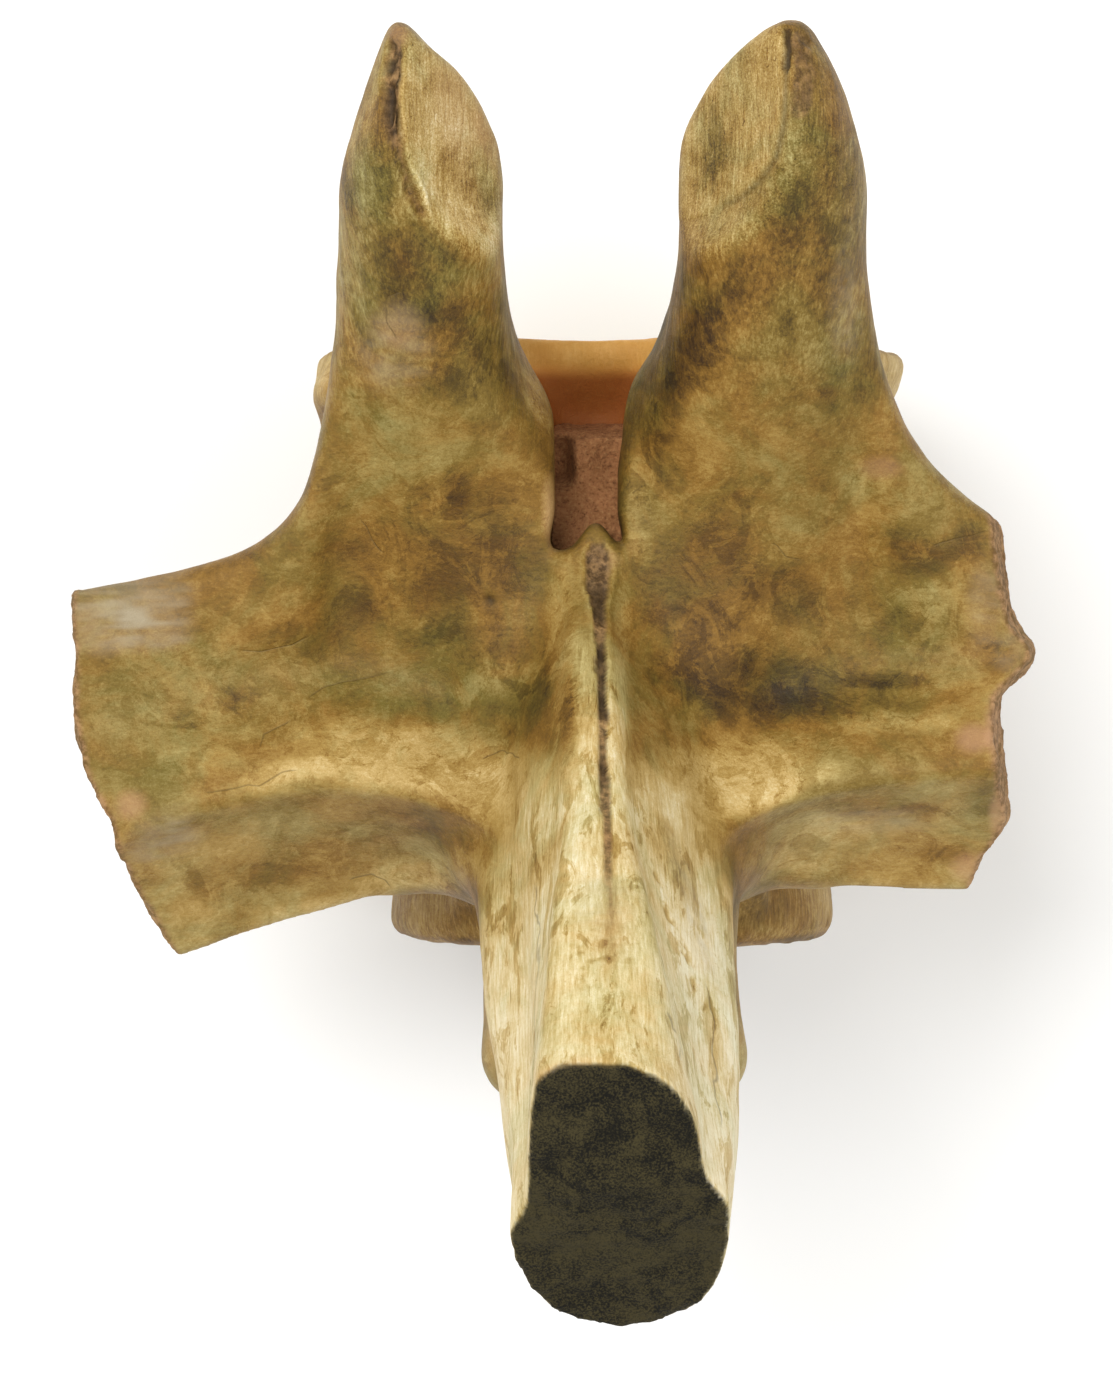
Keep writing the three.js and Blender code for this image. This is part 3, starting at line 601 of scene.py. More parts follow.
PINK = [
    (130, 805, 16, 16, 0, 0.8), (550, 515, 9, 36, 0, 0.8), (975, 738, 18, 14, 0, 1.0),
    (995, 725, 10, 26, 0, 1.0), (1000, 815, 10, 30, 0, 1.0), (970, 868, 20, 16, 0, 0.9),
    (455, 110, 24, 70, -10, 0.4),
    (488, 135, 12, 40, -10, 0.5), (395, 325, 28, 24, 0, 0.3), (398, 35, 12, 12, 0, 0.7),
    (880, 468, 22, 12, 0, 0.5), (560, 540, 14, 10, 0, 0.4), (606, 560, 14, 10, 0, 0.4),
    (560, 1075, 30, 12, -20, 0.7), (618, 930, 26, 40, 0, 0.3), (1000, 520, 12, 12, 0, 0.6),
]
# Golden skin on the shoulders of the wings, and dark speckles on the spine
GOLDEN = [(700, 800, 85, 60, -25, 1.0), (470, 800, 60, 40, 20, 0.8)]
SPECKLES = [(603, 955, 34, 40, 0, 1.0)]
# The violet stain at the left wing's end: how far right and down it is cut off, and its ragged edge
VIOLET_CORNER = (330, 665)
VIOLET_EDGE = (180, 206)

# Fine cracks: paths in pixels of the photograph
CRACKS = [
    [(404, 291), (391, 294), (385, 302), (386, 313), (384, 324), (390, 334), (397, 343)],
    [(240, 650), (262, 651), (290, 647), (308, 637)],
    [(308, 697), (325, 686), (345, 680), (372, 677), (392, 672)],
    [(262, 745), (264, 733), (276, 728), (290, 722)],
    [(205, 790), (225, 790), (250, 783), (262, 784), (282, 772), (300, 770)],
    [(350, 880), (372, 876), (384, 880), (392, 888)],
    [(360, 520), (372, 540), (384, 552)],
    [(770, 545), (785, 558), (800, 562)],
    [(930, 548), (965, 536), (990, 530)],
    [(668, 1010), (672, 1030), (680, 1042), (682, 1062)],
    [(536, 880), (533, 910), (538, 930), (534, 1000), (536, 1060)],
    [(706, 980), (716, 1020), (716, 1060), (722, 1130)],
    [(480, 760), (500, 752), (520, 760)],
]

# The spongy inside that shows along the blade: its path, and against the row of the picture its
# half width in pixels and how open its pits are
BLADE_BREAK = [(598, 546), (598, 592), (601, 640), (603, 700), (603, 760), (606, 810), (609, 860),
               (611, 920), (612, 985)]
BLADE_BREAK_HALF = line((545, 8), (556, 13), (585, 13), (600, 9), (618, 6.5), (640, 6), (780, 5),
                        (860, 4), (990, 3))
BLADE_GAPS = line((540, 0.3), (577, 0.35), (590, 0.95), (615, 0.95), (624, 0.35), (643, 0.6),
                  (650, 0.95), (674, 0.85), (680, 0.6), (690, 0.95), (712, 0.9), (722, 0.2),
                  (754, 0.25), (762, 0.95), (776, 0.9), (786, 0.15), (850, 0.05))
# The chipped ridge of the left prong, and its half width in pixels against the row
LEFT_CHIP = [(393, 36), (392, 64), (390, 90), (392, 122), (400, 155), (410, 187), (423, 217)]
LEFT_CHIP_HALF = line((36, 6), (60, 12), (120, 12), (150, 8.5), (190, 7.5), (219, 6))
# On the right prong: the step along its joint face, a dark torn strip and a rubbed place
FACET_STEP = [(787, 30), (787, 64), (785, 122), (777, 158), (758, 184), (739, 200), (707, 213),
              (686, 218)]
STRIP = [(787, 30), (788, 48), (785, 68)]
RUBBED = [(802, 42), (806, 75), (800, 106)]
# A dark seam up the spine's side, and the small hole where a vessel went in
SEAM = [(650, 862), (664, 900), (680, 945), (696, 980), (704, 1006)]
VESSEL_HOLE = [(489, 600), (491, 601)]

# Rows of the picture over which marks come in, fade out, or both
BLADE_START = (541, 547)
SPONGE_END = (840, 960)
SPONGE_LIP_END = (610, 680)
BLADE_STAIN = (700, 820, 930, 1010)
SPINE_SKIN_START = (735, 815)
CHIP_ROWS = (36, 44, 214, 219)
CHIP_LIP_ROWS = (165, 190, 218, 226)
CHIP_PITS_END = (125, 150)
CHIP_SHADE_START = (120, 150)
CHIP_SPONGE_END = (130, 160)
STEP_START = (30, 60)
# Columns of the picture, right to left, over which the step fades out
STEP_END = (745, 700)


def patches(rows, u, v, ragged):
    """Sum of soft oval patches with ragged edges."""
    total = np.zeros(len(u))
    for u0, v0, a, b, turn, strength in rows:
        c, s = math.cos(math.radians(turn)), math.sin(math.radians(turn))
        du, dv = u - u0, v - v0
        far = np.sqrt(((c * du + s * dv) / a) ** 2 + ((c * dv - s * du) / b) ** 2)
        total += strength * fade(far + 0.3 * ragged, 0.35, 1.35)
    return total


def fibre_noise(p, size, stretch, seed, shares):
    """Streaks that follow the bone's fibres: along Y on the prongs and the spool, along X on the
    wings, and up the lean of the spine."""
    x, y, z = p.T
    up, across = 0.67 * z - 0.74 * y, 0.74 * z + 0.67 * y
    long_y = rough(x, y / stretch, z, size, seed, 2)
    long_x = rough(x / stretch, y, z, size, seed + 4, 2)
    long_up = rough(x, up / stretch, across, size, seed + 8, 2)
    return shares[0] * long_y + shares[1] * long_x + shares[2] * long_up


def growth(x, y, z, beside_blade):
    """How much of the spine, the prongs and the spool there is at a place, and how far it is from
    the rear joint processes, each from 0 to 1."""
    pillars = np.minimum(rear_pillar(x, y, z, -1), rear_pillar(x, y, z, 1))
    off_pillar = ramp(pillars - spine(x, y, z), -1.5, 3.5)
    spine_share = ramp(z, 146, 164) * ramp(y, 26, 10) * fade(np.abs(x), 24, 34) * off_pillar
    spine_share = spine_share * beside_blade
    return spine_share, ramp(y, 30, 62) * ramp(z, 100, 116), fade(z, 96, 112), off_pillar


def breaks(x, y, z):
    """Where the spine has broken off, and where the wings have."""
    broken = ramp(spine_break(x, y, z), -1.0, -0.25) * ramp(z, 188, 196)
    torn = np.maximum(ramp(wing_end(x, y, z, -1), -1.5, -0.3) * ramp(-x, 60, 66),
                      ramp(wing_end(x, y, z, 1), -1.5, -0.3) * ramp(x, 60, 64))
    return broken, torn * ramp(z, 88, 94)


def joint_faces(x, y, z):
    """Where the joint faces of the two prongs are."""
    facet = np.zeros(len(x))
    for side in (-1, 1):
        near = fade(np.abs(facet_plane(x, y, z, side)), 0.6, 3.6)
        facet = np.maximum(facet, near * ramp(y, 66, 74) * ramp(side * x, 2, 6))
    return facet


def fine_cracks(u, v, scale, wobble):
    """Distance to the nearest fine crack in millimetres, and how far the crack shows there."""
    crack, shown = np.full(len(u), 9.0), np.zeros(len(u))
    for path in CRACKS:
        away, share = along_path(u + wobble, v - wobble, path)
        away = away / scale
        nearer = np.abs(away) < np.abs(crack)
        crack = np.where(nearer, away, crack)
        ends = between(share, 0.0, 0.08, 0.9, 1.0)
        shown = np.where(nearer, ends * fade(np.abs(away), 0.9, 1.6), shown)
    return crack, shown


def mark_bone(p, n):
    """Relief and marks of the bone's surface: how far each point moves along its normal, in
    millimetres, and the numbers that the bone's finish reads."""
    x, y, z = p.T
    u, v, scale = in_picture(p)
    from_above = ramp(n[:, 2], -0.05, 0.25) * ramp(z, 108, 116)
    blade, left_chip, strip, rubbed, step, seam, hole = (
        along_path(u, v, path)[0]
        for path in (BLADE_BREAK, LEFT_CHIP, STRIP, RUBBED, FACET_STEP, SEAM, VESSEL_HOLE))

    beside_blade = np.maximum(ramp(v, *SPINE_SKIN_START), fade(np.abs(blade), 20, 34))
    spine_share, prong_share, spool_share, off_pillar = growth(x, y, z, beside_blade)
    long_share = clamp(prong_share + spool_share) * (1 - spine_share)
    shares = (long_share, (1 - long_share) * (1 - spine_share), spine_share)
    broken, torn = breaks(x, y, z)
    facet = joint_faces(x, y, z)

    # edges of the stains, and of the broken places
    ragged = rough(x, y, z, 9, 61, 3)
    patchy = rough(x, y, z, 4.0, 62, 2)

    # the broken front edge of the blade, open to the spongy bone inside
    width = BLADE_BREAK_HALF(v) * (1 + 0.30 * patchy)
    on_blade = from_above * (z > 128) * ramp(v, *BLADE_START)
    sponge = fade(np.abs(blade), width * 0.8, width * 1.05) * on_blade
    sponge = sponge * fade(v + 30 * ragged, *SPONGE_END)
    sponge_lip = np.exp(-(((np.abs(blade) - width - 2.5) / 2.4) ** 2)) * on_blade
    sponge_lip = sponge_lip * fade(v, *SPONGE_LIP_END)
    sponge_stain = np.exp(-((blade / 7.0) ** 2)) * on_blade * between(v, *BLADE_STAIN)

    # the chipped ridge of the left prong with its pale lip
    width = LEFT_CHIP_HALF(v) * (1 + 0.35 * patchy)
    left_lip = np.exp(-((np.abs(left_chip) - width - 2.5) / 2.2) ** 2)
    left_lip = left_lip * between(v, *CHIP_LIP_ROWS) * from_above * (x < 0)
    left_chip = fade(np.abs(left_chip), width * 0.7, width) * from_above
    left_chip = left_chip * between(v, *CHIP_ROWS) * (y > 60) * (x < 0)
    chip_pits = left_chip * fade(v, *CHIP_PITS_END)

    # the right prong's strip, rubbed place and step
    strip = fade(np.abs(strip), 2.5, 4.5 + patchy) * from_above * (y > 60)
    rubbed = fade(np.abs(rubbed) + 3 * patchy, 8, 14) * from_above * (y > 60)
    step_line = np.exp(-((step - 1) / 2.6) ** 2) * from_above * (y > 55) * (x > 0)
    step_line = step_line * ramp(v, *STEP_START) * fade(u, *STEP_END)
    facet_side = ramp(step, -1.5, 1.5) * facet * (x > 0)
    facet_tone = np.where(x > 0, 0.35 * facet + 0.65 * facet_side, facet)

    # the spine's seam, speckles and the small hole on the left wing
    seam = fade(np.abs(seam) + 5 * ragged, 2, 6) * from_above * (z > 150)
    seam = seam * ramp(rough(x, y, z, 2.0, 111, 3), -0.1, 0.25)
    speckles = patches(SPECKLES, u, v, ragged) * (z > 170)
    speckles = speckles * ramp(rough(x, y, z, 1.7, 113, 2), 0.12, 0.40)
    hole = np.exp(-((hole / 5.0) ** 2)) * from_above

    crack, crack_on = fine_cracks(u, v, scale, 5.0 * rough(x, y, z, 5, 64, 3))
    crack_on = crack_on * from_above

    # painted shade: darker where the form closes in, over 7 and over 22 mm
    painted_shade_openness = clamp(bone(*(p + 7 * n).T) / 7)
    wide_painted_shade_openness = clamp(bone(*(p + 22 * n).T) / 22)

    # stains seen from above; the brown patches also paint shade in the wings' basins and under
    # their crests
    brown_and_shade = patches(BROWN_AND_SHADE, u, v, ragged) * from_above
    # the cream patches lighten bleached skin, and also paint light on the crests and the slope
    # behind them
    cream_and_light = 0.34 * (1 - np.exp(-patches(CREAM_AND_LIGHT, u, v, ragged) / 0.34)) * from_above
    cream_and_light = cream_and_light * (1 - 0.6 * spine_share)
    olive = (patches(OLIVE, u, v, ragged) * from_above - 0.6 * spool_share
             - 0.9 * ramp(cream_and_light, 0.05, 0.3) * (1 - spine_share)
             - patches(GOLDEN, u, v, ragged) - 0.3 * (z < 150) * (1 - off_pillar))
    in_corner = (u < VIOLET_CORNER[0]) & (v < VIOLET_CORNER[1])
    violet = patches(VIOLET, u, v, ragged) * from_above
    violet = violet * np.where(in_corner, fade(u + 14 * ragged, *VIOLET_EDGE), 1)
    violet = violet * clamp(0.8 + 1.1 * rough(x / 7, y, z, 1.4, 109, 2), 0, 1.3)
    pink = patches(PINK, u, v, ragged) * from_above

    # the spool: its rims, the rusty trough and amber band before the canal, and its end faces
    neck = fade(np.abs(x + 2), 20, 30)
    rim = ramp(np.abs(y), 46, 56) * spool_share
    trough = ramp(y, 40, 44) * fade(y + 1.2 * ragged, 53.5, 56) * between(z, 92, 96, 113, 117)
    trough = trough * neck
    band = ramp(y, 52, 55) * between(z, 103, 107, 112.5, 114.5) * neck * (y < 62)
    end_face = spool_share * ramp(np.abs(n[:, 1]), 0.55, 0.85) * (np.abs(y) > 42)
    radius = np.hypot(x * 0.95, z - 56)
    rings = np.sin(radius * 0.9 + 3.5 * rough(x, y, z, 20, 115, 2)) * ramp(radius, 22, 42)
    # the slope behind the crests of the wings, made lighter: partly its paler colour, partly
    # painted light that lifts the shade on this back-facing slope
    behind = ramp(np.where(x < 0, WINGS[-1]["ridge"](-x), WINGS[1]["ridge"](x)) - y, 1, 9)
    behind = behind * ramp(np.abs(x), 26, 40) * ramp(z, 100, 108)

    streak = fibre_noise(p, 1.6, 5, 71, shares)
    coarse_streak = fibre_noise(p, 4.5, 4, 83, shares)
    streaky = clamp(0.9 * prong_share + 0.5 * spine_share + 0.10)

    # from 0, ivory, to 1, umber
    tone = (0.65 + 0.05 * rough(x, y, z, 24, 65, 2) + 0.05 * rough(x, y, z, 7, 66, 2)
            # partly painted light: the slope behind the wings' crests is made lighter
            - spine_share * (0.22 + 0.21 * ramp(z, 145, 190)) - 0.14 * facet_tone - 0.12 * behind
            + 0.03 * prong_share * (1 - facet)
            + 0.05 * spine_share * ramp(z, 150, 165) * fade(np.abs(x), 5, 10)
            - 0.06 * spine_share * ramp(x, 10, 16)
            # partly painted light: the front rim is made lighter, offsetting the shade on it
            - 0.05 * spool_share - 0.22 * rim * ramp(y, 0, 20)
            + brown_and_shade - cream_and_light - 0.20 * band - 0.13 * sponge_lip + 0.22 * sponge_stain
            # painted shade in the hollows, from how open the form is around each point
            + 0.16 * (0.75 - painted_shade_openness) + 0.10 * (0.7 - wide_painted_shade_openness)
            # painted light: the rear joint processes, in the spine's shade, are made lighter
            - 0.14 * (1 - off_pillar) * between(z, 128, 136, 172, 180)
            # painted shade: the lower part of the chipped groove on the left prong is darkened
            + 0.20 * left_chip * ramp(v, *CHIP_SHADE_START) - 0.22 * left_lip
            + end_face * (0.10 + 0.015 * rings + 0.20 * rough(x, y, z, 16, 119, 3))
            + streaky * (0.06 * streak + 0.05 * coarse_streak)
            + 0.30 * seam + 0.22 * speckles)

    # relief, millimetres outwards: the skin, then the grain of the breaks, then the marks
    out = (0.28 * rough(x, y, z, 14, 91, 2) + 0.10 * rough(x, y, z, 5, 93, 2)
           + streaky * (0.10 * streak + 0.12 * coarse_streak) * (1 - 0.7 * facet)
           + rim * (0.30 * rough(x, y, z, 6, 95, 3)) + 0.10 * noise(x, y, z, 1.8, 97) * rim
           + end_face * (0.10 * rings + 0.45 * rough(x, y, z, 6, 117, 3)))
    out = out * (1 - 0.6 * ramp(z, 2, 0.2))
    grain = 0.6 * rough(x, y, z, 7, 99, 2) + 0.55 * rough(x, y, z, 2.2, 101, 3, 0.7)
    out = mix(out, grain, clamp(broken + torn))
    pit = ramp(rough(x, y, z, 2.4, 105, 3, 0.6), -0.15, 0.20)
    gap = clamp(BLADE_GAPS(v) + 0.45 * rough(x, y, z, 1.8, 107, 2))
    out = (out - sponge * (0.35 + 0.9 * gap) + 0.18 * sponge_lip
           - 1.5 * left_chip - 0.8 * pit * chip_pits + 0.55 * left_lip
           - rubbed * (0.15 + 0.5 * pit) - 0.9 * strip + 0.30 * facet_side - 0.35 * step_line
           - 0.15 * crack_on * np.exp(-((crack / 0.55) ** 2)) - 0.25 * seam - 0.8 * hole)

    spongy = sponge + left_chip * (1 - 0.6 * ramp(v, *CHIP_SPONGE_END)) + 0.6 * rubbed
    pits = gap * sponge + pit * (chip_pits + 0.35 * rubbed) + 0.9 * strip + 0.9 * hole
    marks = {
        "tone": tone, "olive": olive, "violet": violet, "pink": pink,
        "broken": broken, "torn": torn,
        "spongy": clamp(spongy), "pit": clamp(pits + 0.6 * step_line),
        "crack": np.clip(crack, -2, 2), "crack_on": crack_on,
        "cream_and_light": clamp(cream_and_light * 3), "stain": clamp(brown_and_shade * 3 + 0.45 * (1 - spine_share)),
        "rust": clamp(trough),
        "amber": clamp(0.8 * band + 0.4 * rim * ramp(y, 30, 50) * ramp(z, 78, 100)),
        "lengthwise": shares[0], "crosswise": shares[1], "upwards": shares[2],
        "facet": clamp(facet + 0.6 * prong_share * ramp(y, 68, 88)),
        "low_break": ramp(-y, 84, 96),
    }
    return out, marks


# ---------------------------------------------------------------- finishes
def add(tree, kind, links=None, out=0, **settings):
    """Adds a shader node, sets it up, joins or fills its sockets, and returns one output. The
    values of a tuple go into the first sockets in turn."""
    node = tree.nodes.new("ShaderNode" + kind)
    for key, value in settings.items():
        setattr(node, key, value)
    links = dict(enumerate(links)) if isinstance(links, tuple) else links or {}
    for key, value in links.items():
        if isinstance(value, bpy.types.NodeSocket):
            tree.links.new(value, node.inputs[key])
        else:
            node.inputs[key].default_value = value
    return None if out is None else node.outputs[out]


# Settings of a node that blends two colours, in its sockets 6 and 7
BLEND = {"out": 2, "data_type": "RGBA"}


def start_finish(name):
    """An empty node finish."""
    finish = bpy.data.materials.new(name)
    finish.use_nodes = True
    tree = finish.node_tree
    tree.nodes.clear()
    return finish, tree


def colour(c):
    """A socket's colour from sRGB hex or from three linear values."""
    return (*linear(c), 1.0) if isinstance(c, str) else (*c, 1.0)


# Fossil bone: phosphate turned to stone, its pores filled with iron and manganese minerals. The
# eye sees a dull satin skin, mottled from ivory to umber, with fibres, stains and hairline cracks.
WARM_TONES = [(0.00, "#ece0c0"), (0.16, "#d8c492"), (0.32, "#c0a366"), (0.48, "#a38444"),
              (0.64, "#846125"), (0.80, "#604416"), (1.00, "#38250e")]
OLIVE_TONES = [(0.00, "#e5e1c4"), (0.16, "#cdc496"), (0.32, "#afa56c"), (0.48, "#8f824c"),
               (0.64, "#716228"), (0.80, "#524619"), (1.00, "#2f260f")]


def bone_finish():
    finish, tree = start_finish("mineralised_bone")
    place = add(tree, "TexCoord", out="Object")
    mm = add(tree, "VectorMath", {0: place, "Scale": 1000.0}, operation="SCALE")
    mark = {key: add(tree, "Attribute", out="Fac", attribute_name=key) for key in (
        "tone", "olive", "violet", "pink", "broken", "torn", "spongy", "pit", "crack", "crack_on",
        "cream_and_light", "stain", "rust", "lengthwise", "crosswise", "upwards", "facet", "amber",
        "low_break")}

    # fibres about half a millimetre wide, in the three directions in which the bone has grown
    streaks = None
    for key, turn, stretch, strength in (("lengthwise", 0, (1, 0.13, 1), 0.72),
                                         ("crosswise", 0, (0.5, 1, 1), 0.32),
                                         ("upwards", 42, (1, 0.10, 1), 0.68)):
        turned = add(tree, "Mapping", {"Vector": mm, "Rotation": (math.radians(turn), 0, 0)})
        laid = add(tree, "VectorMath", (turned, stretch), operation="MULTIPLY")
        grain = add(tree, "TexNoise", {"Vector": laid, "Scale": 1.5, "Detail": 4.0,
                                       "Roughness": 0.72, "Distortion": 0.3})
        grain = add(tree, "Math", (grain, 0.5), operation="SUBTRACT")
        share = add(tree, "Math", (mark[key], strength), operation="MULTIPLY")
        share = add(tree, "Math", (grain, share), operation="MULTIPLY")
        streaks = share if streaks is None else add(tree, "Math", (streaks, share), operation="ADD")

    # mottling 10 mm across, stains 13 mm, bleached patches 9 mm, spots 3 mm and specks 1 mm
    # across with sharp edges, and a thin dark outline around the stains
    mottle = add(tree, "TexNoise", {"Vector": mm, "Scale": 0.10, "Detail": 6.5, "Roughness": 0.66,
                                    "Distortion": 0.9})
    fields, layers = [], []
    for shift, size, detail, low, high in (((0, 0, 0), 0.075, 7.0, 0.520, 0.533),
                                           ((31, 7, 3), 0.11, 6.5, 0.545, 0.560),
                                           ((5, 43, 17), 0.34, 5.5, 0.595, 0.615),
                                           ((9, 21, 61), 1.1, 4.0, 0.62, 0.67)):
        moved = add(tree, "VectorMath", (mm, shift), operation="ADD")
        fields.append(add(tree, "TexNoise", {"Vector": moved, "Scale": size, "Detail": detail,
                                             "Roughness": 0.68, "Distortion": 1.3}))
        layers.append(add(tree, "MapRange", (fields[-1], low, high, 0.0, 1.0)))
    stain, bleach, spot, speck = layers
    outline = add(tree, "Math", (fields[0], 0.508), operation="SUBTRACT")
    outline = add(tree, "Math", (outline,), operation="ABSOLUTE")
    outline = add(tree, "MapRange", (outline, 0.0, 0.008, 1.0, 0.0))
    # wormy ivory veins, 5 and 2 mm apart, where the skin is bleached
    veins = []
    for size, low, high in ((0.22, 0.004, 0.035), (0.5, 0.004, 0.05)):
        vein = add(tree, "TexNoise", {"Vector": mm, "Scale": size, "Detail": 5.0,
                                      "Roughness": 0.6, "Distortion": 2.4})
        vein = add(tree, "Math", (vein, 0.5), operation="SUBTRACT")
        vein = add(tree, "Math", (vein,), operation="ABSOLUTE")
        veins.append(add(tree, "MapRange", (vein, low, high, 1.0, 0.0)))
    vein = add(tree, "Math", tuple(veins), operation="MAXIMUM")
    # ochre stains 6 mm wide that run up the spine, and its fine dark lines 1 mm wide
    up_turn = add(tree, "Mapping", {"Vector": mm, "Rotation": (math.radians(42), 0, 0)})
    runs = []
    for stretch, size, detail, low, high in (((1, 0.35, 1), 0.16, 6.5, 0.55, 0.58),
                                             ((1, 0.06, 1), 0.9, 4.5, 0.62, 0.70)):
        laid = add(tree, "VectorMath", (up_turn, stretch), operation="MULTIPLY")
        run = add(tree, "TexNoise", {"Vector": laid, "Scale": size, "Detail": detail,
                                     "Roughness": 0.66, "Distortion": 0.9})
        run = add(tree, "MapRange", (run, low, high, 0.0, 1.0))
        runs.append(add(tree, "Math", (run, mark["upwards"]), operation="MULTIPLY"))
    grit = add(tree, "TexNoise", {"Vector": mm, "Scale": 2.6, "Detail": 2.0, "Roughness": 0.7})

    # all of these darken or lighten the tone
    tone = add(tree, "Math", (mark["tone"], streaks), operation="ADD")
    facet_grit = add(tree, "Math", (mark["facet"], 0.50, 0.16), operation="MULTIPLY_ADD")
    for source, amount in ((mottle, 0.34), (grit, facet_grit)):
        shift = add(tree, "Math", (source, 0.5), operation="SUBTRACT")
        tone = add(tree, "Math", (shift, amount, tone), operation="MULTIPLY_ADD")
    for zone, rows in (
            ("stain", ((stain, 0.12), (bleach, -0.09), (spot, 0.08), (speck, 0.06),
                       (outline, 0.10))),
            ("cream_and_light", ((vein, -0.12), (stain, 0.09), (spot, 0.13))),
            ("upwards", ((runs[0], 0.18), (runs[1], 0.20), (speck, 0.12))),
            ("facet", ((speck, 0.22), (vein, -0.07)))):
        for source, amount in rows:
            shift = add(tree, "Math", (source, mark[zone]), operation="MULTIPLY")
            tone = add(tree, "Math", (shift, amount, tone), operation="MULTIPLY_ADD")
    skins = []
    for tones in (WARM_TONES, OLIVE_TONES):
        skins.append(add(tree, "ValToRGB", (tone,)))
        stops = tree.nodes[-1].color_ramp.elements
        while len(stops) < len(tones):
            stops.new(0.5)
        for stop, (at, shade) in zip(stops, tones):
            stop.position, stop.color = at, colour(shade)
    # which of the two tone rows the skin takes, in clouds 18 mm across
    hue = add(tree, "TexNoise", {"Vector": mm, "Scale": 0.055, "Detail": 6.0, "Roughness": 0.65,
                                 "Distortion": 0.5})
    hue = add(tree, "MapRange", (hue, 0.40, 0.60, -0.10, 0.60))
    hue = add(tree, "Math", (mark["olive"], 0.55, hue), operation="MULTIPLY_ADD", use_clamp=True)
    skin = add(tree, "Mix", {0: hue, 6: skins[0], 7: skins[1]}, **BLEND)

    # cracks, the grainy breaks and the spongy inside
    crack = add(tree, "Math", (mark["crack"],), operation="ABSOLUTE")
    crack = add(tree, "MapRange", (crack, 0.03, 0.22, 1.0, 0.0))
    crack = mark["crack"] = add(tree, "Math", (crack, mark["crack_on"]), operation="MULTIPLY")
    granules = add(tree, "TexNoise", {"Vector": mm, "Scale": 0.55, "Detail": 6.0, "Roughness": 0.7})
    dark = add(tree, "MapRange", (granules, 0.42, 0.60, 0.0, 1.0))
    wide = add(tree, "MapRange", (mottle, 0.38, 0.60, -0.35, 0.35))
    wide = add(tree, "Math", (mark["low_break"], 0.22, wide), operation="MULTIPLY_ADD")
    fine = add(tree, "MapRange", (grit, 0.42, 0.60, -0.25, 0.90))
    wide = add(tree, "Math", (dark, 0.30, wide), operation="MULTIPLY_ADD")
    grainy = add(tree, "Math", (fine, 0.75, wide), operation="MULTIPLY_ADD", use_clamp=True)
    dark_face, torn_face, sponge_face = [
        add(tree, "Mix", {0: share, 6: colour(deep), 7: colour(pale)}, **BLEND)
        for share, deep, pale in ((grainy, "#0e0c05", "#3d361e"), (dark, "#6a4d31", "#b48c66"),
                                  (dark, "#4a331b", "#9f7b50"))]
    for zone, strength, shade in (
            ("violet", 0.50, colour("#a3957a")), ("pink", 0.50, colour("#b98e6b")),
            ("rust", 0.80, colour("#a65c2a")), ("amber", 0.75, colour("#e9a74f")),
            ("torn", 0.70, torn_face), ("spongy", 0.85, sponge_face),
            ("pit", 0.90, colour("#30220f")), ("crack", 0.50, colour("#5a4826")),
            ("broken", 1.0, dark_face)):
        share = add(tree, "Math", (mark[zone], strength), operation="MULTIPLY", use_clamp=True)
        skin = add(tree, "Mix", {0: share, 6: skin, 7: shade}, **BLEND)

    # satin where the skin is whole, dull where it is broken
    dull = add(tree, "Math", (mark["broken"], mark["torn"]), operation="ADD", use_clamp=True)
    gloss = add(tree, "MapRange", (mottle, 0.3, 0.7, 0.46, 0.62))
    rough_value = add(tree, "Mix", {0: dull, 2: gloss, 3: 0.88}, data_type="FLOAT")
    height = add(tree, "Math", (streaks, 0.8), operation="MULTIPLY")
    for source, amount in ((granules, 0.4), (crack, -0.35), (vein, 0.05), (grit, 0.25)):
        height = add(tree, "Math", (source, amount, height), operation="MULTIPLY_ADD")
    bump = add(tree, "Bump", {"Height": height, "Strength": 0.6, "Distance": 0.0006})
    shader = add(tree, "BsdfPrincipled", {"Base Color": skin, "Roughness": rough_value,
                                          "IOR": 1.5, "Specular IOR Level": 0.25, "Normal": bump})
    add(tree, "OutputMaterial", {"Surface": shader}, out=None)
    return finish


